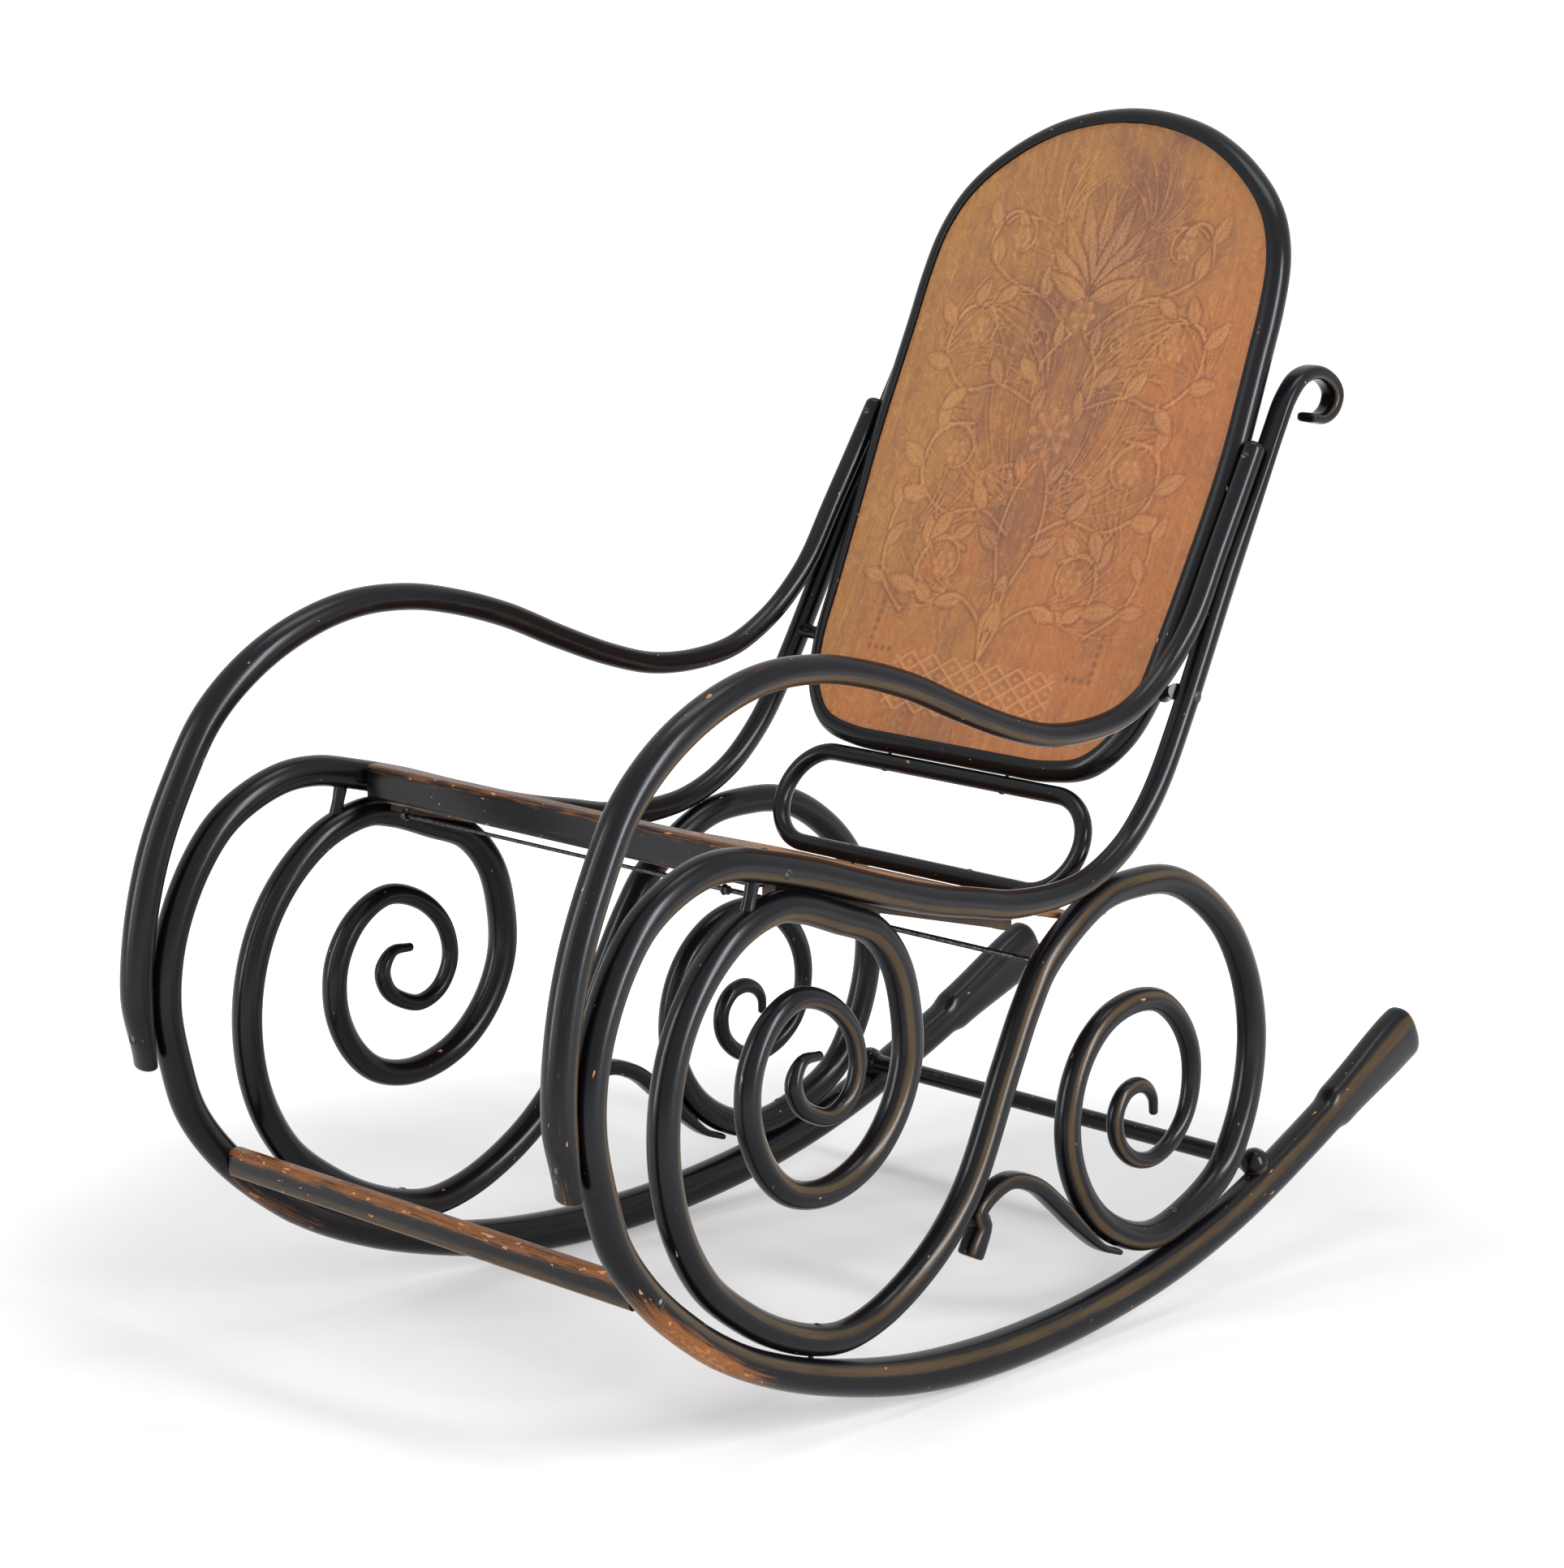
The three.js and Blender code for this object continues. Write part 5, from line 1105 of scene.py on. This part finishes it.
# Boards across the front: their long edges are rounded and their ends follow the side rods
boards = {
    # brown: strength of the painted warm reflection on a board's lower face
    "seat_front_rail": {"y": -0.309, "z": 0.4805, "thick": 0.018, "high": 0.031, "out": 0.0,
                        "wide": 0.027, "round": 0.0045, "wear": (0.24, 0.55, 0.26),
                        "topBand": (0.35, 0.95), "brown": 0.3},
    "foot_rail": {"y": at(sideRod["line"], onSide("frontCurve", 2, 0.168))[1], "z": 0.168,
                  "thick": 0.016, "high": 0.025, "out": 0.003, "wide": 0.028, "round": 0.005,
                  "wear": (0.26, 0.68, 0.1), "topBand": (0.1, 0.8), "brown": 0.75},
}


# A rectangle whose corners are quarter circles: each corner, and then points along the next side
def boardSection(b, steps=7, along=6):
    inset = np.array([b["thick"], b["high"]]) / 2 - b["round"]
    arcs = []
    for k, sign in enumerate(((1, 1), (-1, 1), (-1, -1), (1, -1))):
        turn = (k + np.linspace(0, 1, steps)) * np.pi / 2
        arcs.append(inset * sign + b["round"] * np.stack([np.cos(turn), np.sin(turn)], -1))
    t = np.linspace(0, 1, along + 1, endpoint=False)[1:, None]
    sides = [arc[-1] * (1 - t) + following[0] * t for arc, following in zip(arcs, arcs[1:] + arcs[:1])]
    return np.concatenate([rows for pair in zip(arcs, sides) for rows in pair])


# Sections from end to end; both ends follow the side rods. Wear lies on the top band and the lower edge,
# and a painted warm reflection browns the lower face
def makeBoard(name, b, steps=90):
    section = boardSection(b)
    y, z = b["y"] + section[:, 0], b["z"] + section[:, 1]
    end = sideX(y, z, b["out"]) - b["wide"] / 2 - chairSizes["gap"]
    u = np.linspace(-1, 1, steps)[:, None]
    points = np.stack([u * end, y + 0 * u, z + 0 * u], -1)
    caps = points[[0, -1]].mean(1)
    flat = np.concatenate([points.reshape(-1, 3), caps])
    rise = np.concatenate([np.tile(section[:, 1] / b["high"] * 2, steps), [0, 0]])
    plain, top, low = b["wear"]
    wear = plain + (top - plain) * smooth(rise, *b["topBand"]) + low * smooth(-rise, 0.6, 1.0)
    quads, tris = tubeFaces(steps, len(section), False)
    makePiece(name, "eased", flat + standAt, quads, tris, "worn_lacquer",
              {"grain": flat - (0, b["y"], b["z"]), "wear": wear,
               "under": 0.12 + b["brown"] * smooth(-rise, -0.3, 0.7)}, crease=55)


for name, board in boards.items():
    makeBoard(name, board)
print("seat and boards made")


# Turned pieces: a radius along an axis, closed with a point at each end
def turnedPiece(node, word, start, axis, profile, sides, slot="black_lacquer", wear=0.15):
    axis = np.asarray(axis, float) / np.linalg.norm(axis)
    side = np.cross(axis, (0, 0, 1) if abs(axis[2]) < 0.9 else (0, 1, 0))
    side /= np.linalg.norm(side)
    other = np.cross(axis, side)
    angle = np.arange(sides) / sides * 2 * np.pi
    r, d = np.asarray(profile, float).T
    ring = np.cos(angle)[:, None] * side + np.sin(angle)[:, None] * other
    points = start + d[:, None, None] * axis + r[:, None, None] * ring
    tips = start + np.array([[d[0]], [d[-1]]]) * axis
    flat = np.concatenate([points.reshape(-1, 3), tips])
    quads, tris = tubeFaces(len(r), sides, False)
    grain = np.concatenate([np.stack([d[:, None] + 0 * angle, r[:, None] * np.cos(angle),
                                      r[:, None] * np.sin(angle)], -1).reshape(-1, 3),
                            [[d[0], 0, 0], [d[-1], 0, 0]]])
    # The under value paints a warm reflection on the faces that look down
    normalZ = np.concatenate([np.tile(ring[:, 2], len(r)), [0, 0]])
    makePiece(node, word, flat, quads, tris, slot,
              {"grain": grain, "wear": np.full(len(flat), wear), "under": smooth(-normalZ, 0, 1)},
              crease=40)


turned = {
    "stretcher": {"ball": 0.0135, "rod": 0.0085, "neck": 0.0105, "neckLong": 0.006, "ballEnd": 0.05,
                  "ballRings": 16, "neckRings": 6, "rodRings": 40, "sides": 28, "wear": 0.22},
    # an edge is a share of the radius, and how far it lies from the end
    "frontTie": {"rod": 0.0017, "head": 0.00375, "headLong": 0.004, "inner": (0.92, 0.0006),
                 "outer": (0.8, 0.0008), "sides": 20},
    "rearTie": {"edge": (0.9, 0.0005), "sides": 20},
    "spacers": {"ringY": -0.331, "endGap": 0.0006, "endCorners": 6, "sides": 28,
                "ring": {"end": 0.006, "waist": 0.0054}, "back": {"end": 0.0075, "waist": 0.0062}},
}


# Middle and upper corner of a node's box
def middleOf(node):
    low, high = (np.array(v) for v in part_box(node))
    return (low + high) / 2, high


# A rod with a ball at each end: the ball's profile is a half circle
def makeStretcher(p):
    middle, high = middleOf("rear_stretcher")
    reach = high[0] - p["ball"]
    neck = np.arcsin(p["neck"] / p["ball"])
    turn = np.linspace(neck, np.pi - p["ballEnd"], p["ballRings"])
    ball = np.stack([p["ball"] * np.sin(turn), reach - p["ball"] * np.cos(turn)], -1)
    begin = ball[0, 1] - p["neckLong"]
    ease = np.linspace(0, 1, p["neckRings"], endpoint=False)[:, None]
    slide = ease * ease * (3 - 2 * ease)
    neckRows = np.concatenate([p["rod"] + (p["neck"] - p["rod"]) * slide,
                               begin + p["neckLong"] * ease], 1)
    along = np.linspace(0, begin, p["rodRings"], endpoint=False)
    body = np.stack([p["rod"] + 0 * along, along], -1)
    half = np.concatenate([body, neckRows, ball])
    profile = np.concatenate([half[:0:-1] * (1, -1), half])
    turnedPiece("rear_stretcher", "turned", middle * (0, 1, 1), (1, 0, 0), profile, p["sides"],
                wear=p["wear"])


# A wire with a head at each end, and a plain rod whose ends are eased
def makeTies(front, rear):
    middle, high = middleOf("front_tie_rod")
    head, reach, start = front["head"], high[0], high[0] - front["headLong"]
    (innerShare, inner), (outerShare, outer) = front["inner"], front["outer"]
    half = [(front["rod"], 0), (front["rod"], start), (head * innerShare, start), (head, start + inner),
            (head, reach - outer), (head * outerShare, reach)]
    profile = np.array([(r, -d) for r, d in half[:0:-1]] + half)
    turnedPiece("front_tie_rod", "drawn", middle * (0, 1, 1), (1, 0, 0), profile, front["sides"], "steel")
    middle, high = middleOf("rear_tie_rod")
    reach, r, (share, edge) = high[0], high[2] - middle[2], rear["edge"]
    turnedPiece("rear_tie_rod", "drawn", middle * (0, 1, 1), (1, 0, 0),
                [(r * share, -reach), (r, edge - reach), (r, reach - edge), (r * share, reach)],
                rear["sides"], "steel")


# A spool: its radius falls to the waist as a cosine
def spool(p, half, rows=14):
    t = np.linspace(-1, 1, rows)
    return np.stack([p["waist"] + (p["end"] - p["waist"]) * (0.5 - 0.5 * np.cos(np.pi * t)),
                     t * half], -1)


def nodePoints(name):
    vertices = nodes[name].data.vertices
    found = np.empty(len(vertices) * 3, np.float32)
    vertices.foreach_get("co", found)
    return found.reshape(-1, 3).astype(float)


# The ring spacers stand square to the rail, and the back spacers along their solids' own axes
def makeSpacers(p):
    for hand, side in handSides.items():
        share = onSide("rail", 1, p["ringY"])
        across = {"ring": -outward(sideRod["line"], share), "back": np.array([-side, 0.0, 0.0])}
        for kind, axis in across.items():
            name = f"{kind}_spacer_{hand}"
            corners = nodePoints(name)
            if kind == "back":
                pair = corners[np.argsort(corners @ axis)]
                axis = pair[-p["endCorners"]:].mean(0) - pair[:p["endCorners"]].mean(0)
                axis /= np.linalg.norm(axis)
            run = corners @ axis
            middle = (corners.min(0) + corners.max(0)) / 2
            half = (run.max() - run.min()) / 2 - p["endGap"]
            turnedPiece(name, "turned", middle, axis, spool(p[kind], half), p["sides"])


makeStretcher(turned["stretcher"])
makeTies(turned["frontTie"], turned["rearTie"])
makeSpacers(turned["spacers"])
print("turned pieces made")

# Screws: a domed head with a slot, and a shank that runs into the wood. The arms' lower ends are blunt,
# so their screws sit deeper
screwLook = {
    "dome": 0.0022, "crown": 0.65, "neck": 1.5, "point": 0.3, "slotHalf": 0.09, "slotDeep": 0.3,
    "armEndSink": 0.0046, "turnStep": 2.4, "aside": (0.3, 0.2, 1.0),
    "rows": (-1, -0.82, -0.6, -0.36, -0.15, -0.09, 0, 0.09, 0.15, 0.36, 0.6, 0.82, 1),
}


# The axis joins the solid's two farthest corners, with the head at its wider end. The head's top is a
# square grid bent into a disc, its height a dome less the slot
def makeScrew(name, look, turn):
    corners = nodePoints(name)
    gaps = np.linalg.norm(corners[:, None] - corners[None], axis=2)
    a, b = np.unravel_index(np.argmax(gaps), gaps.shape)
    axis = (corners[b] - corners[a]) / gaps[a, b]
    run = (corners - corners[a]) @ axis
    radius = np.linalg.norm(corners - corners[a] - run[:, None] * axis, axis=1)
    if run[np.argmax(radius)] > gaps[a, b] / 2:
        a, axis, run = b, -axis, gaps[a, b] - run
    dome, sink = look["dome"], look["armEndSink"] * name.startswith("arm_lower")
    base, long = corners[a] + axis * sink, gaps.max() - sink
    head, shank = radius.max(), radius[run > dome * look["neck"]].max()
    side = np.cross(axis, look["aside"])
    side /= np.linalg.norm(side)
    side = side * np.cos(turn) + np.cross(axis, side) * np.sin(turn)
    other = np.cross(axis, side)
    u, v = np.meshgrid(look["rows"], look["rows"], indexing="ij")
    du, dv = u * np.sqrt(1 - v * v / 2), v * np.sqrt(1 - u * u / 2)
    height = dome * look["crown"] * (du ** 2 + dv ** 2)
    if "bolt" not in name:
        height = height + dome * look["slotDeep"] * (np.abs(u) <= look["slotHalf"])
    top = base + head * (du[..., None] * side + dv[..., None] * other) + height[..., None] * axis
    top = top.reshape(-1, 3)
    faces, rim = gridFaces(*u.shape)
    spoke = top[rim] - base
    spoke -= (spoke @ axis)[:, None] * axis
    spoke /= np.linalg.norm(spoke, axis=1)[:, None]
    rings = [base + spoke * r + axis * d for r, d in (
        (head, dome), (shank, dome), (shank, long - shank), (shank * look["point"], long))]
    m = len(rim)
    loops = [rim] + [len(top) + k * m + np.arange(m) for k in range(len(rings))]
    walls = [np.stack([p, q, np.roll(q, -1), np.roll(p, -1)], -1) for p, q in zip(loops[:-1], loops[1:])]
    points = np.concatenate([top, *rings, [base + axis * long]])
    tris = np.stack([np.full(m, len(points) - 1), np.roll(loops[-1], -1), loops[-1]], -1)
    makePiece(name, "slotted", points, np.concatenate([faces, *walls]), tris, "steel", crease=35)


screws = sorted(name for name in nodes if "_screw_" in name or "_bolt_" in name)
for k, name in enumerate(screws):
    makeScrew(name, screwLook, k * screwLook["turnStep"])
print("screws made:", len(screws))

# The hidden bearers and the two small eyelets keep their solids
for name in nodes:
    if name.startswith(("seat_cleat", "seat_rear_rail", "tie_eyelet")):
        slot = "steel" if name.startswith("tie_eyelet") else "plain_wood"
        nodes[name].data.materials.clear()
        nodes[name].data.materials.append(slotMaterials[slot])

# Floor, world and lamps
room = {
    "floorSize": 40.0, "floorColour": (0.68, 0.665, 0.655),
    "glow": (0.24, 1.0), "glowFrom": (0.6, 1.25),  # the floor brightens away from the chair
    "worldLight": 0.36, "lampColour": (0.93, 0.96, 1.0),
    # name, place, size, watts, and the height on the chair that it points at
    "lamps": [
        ("tallWindow", (-0.1, -3.3, 1.65), (1.4, 3.0), 30.0, 0.9),
        ("narrowLeft", (-1.3, -3.4, 1.6), (0.4, 2.9), 86.0, 0.8),
        ("narrowRight", (3.4, 0.35, 1.7), (0.5, 2.8), 180.0, 0.7),
        ("overhead", (0.3, 0.2, 4.0), (0.9, 2.2), 36.0, 0.4)],
}


# Rays that see the background or mirror it, and none that light the chair
def backgroundRays(tree):
    rays = addNode(tree, "LightPath").outputs
    seen = compute(tree, "MAXIMUM", rays["Is Camera Ray"], rays["Is Glossy Ray"])
    return compute(tree, "MAXIMUM", seen, rays["Is Transmission Ray"])


def makeFloor(r):
    material, tree = newMaterial("paleFloor")
    plain = addNode(tree, "BsdfDiffuse", {"Color": (*r["floorColour"], 1.0)})
    place = addNode(tree, "TexCoord").outputs["Object"]
    away = addNode(tree, "VectorMath", {0: place}, operation="LENGTH").outputs["Value"]
    strength = ranged(tree, away, *r["glowFrom"], *r["glow"])
    glow = addNode(tree, "Emission", {"Color": (1.0, 1.0, 1.0, 1.0), "Strength": compute(
        tree, "MULTIPLY", backgroundRays(tree), strength)})
    both = addNode(tree, "AddShader", {0: plain.outputs[0], 1: glow.outputs[0]})
    tree.links.new(both.outputs[0], addNode(tree, "OutputMaterial").inputs[0])
    half = r["floorSize"] / 2
    mesh = bpy.data.meshes.new("paleFloor")
    mesh.from_pydata([(-half, -half, 0), (half, -half, 0), (half, half, 0), (-half, half, 0)], [],
                     [(0, 1, 2, 3)])
    mesh.materials.append(material)
    floor = bpy.data.objects.new("paleFloor", mesh)
    bpy.context.scene.collection.objects.link(floor)


def makeWorld(r):
    world = bpy.data.worlds.new("paleRoom")
    world.use_nodes = True
    tree = world.node_tree
    tree.nodes.clear()
    strength = compute(tree, "ADD", r["worldLight"], compute(
        tree, "MULTIPLY", backgroundRays(tree), 1 - r["worldLight"]))
    glow = addNode(tree, "Background", {"Color": (1.0, 1.0, 1.0, 1.0), "Strength": strength})
    tree.links.new(glow.outputs[0], addNode(tree, "OutputWorld").inputs[0])
    bpy.context.scene.world = world


def makeLamps(r):
    for name, place, size, power, height in r["lamps"]:
        lamp = bpy.data.lights.new(name, "AREA")
        lamp.shape, (lamp.size, lamp.size_y) = "RECTANGLE", size
        lamp.energy, lamp.color = power, r["lampColour"]
        holder = bpy.data.objects.new(name, lamp)
        holder.location = place
        way = Vector((0, 0, height)) - Vector(place)
        holder.visible_camera = False
        holder.rotation_euler = way.to_track_quat("-Z", "Y").to_euler()
        bpy.context.scene.collection.objects.link(holder)


makeFloor(room)
makeWorld(room)
makeLamps(room)
bpy.context.scene.view_settings.view_transform = "Standard"
print("room made")
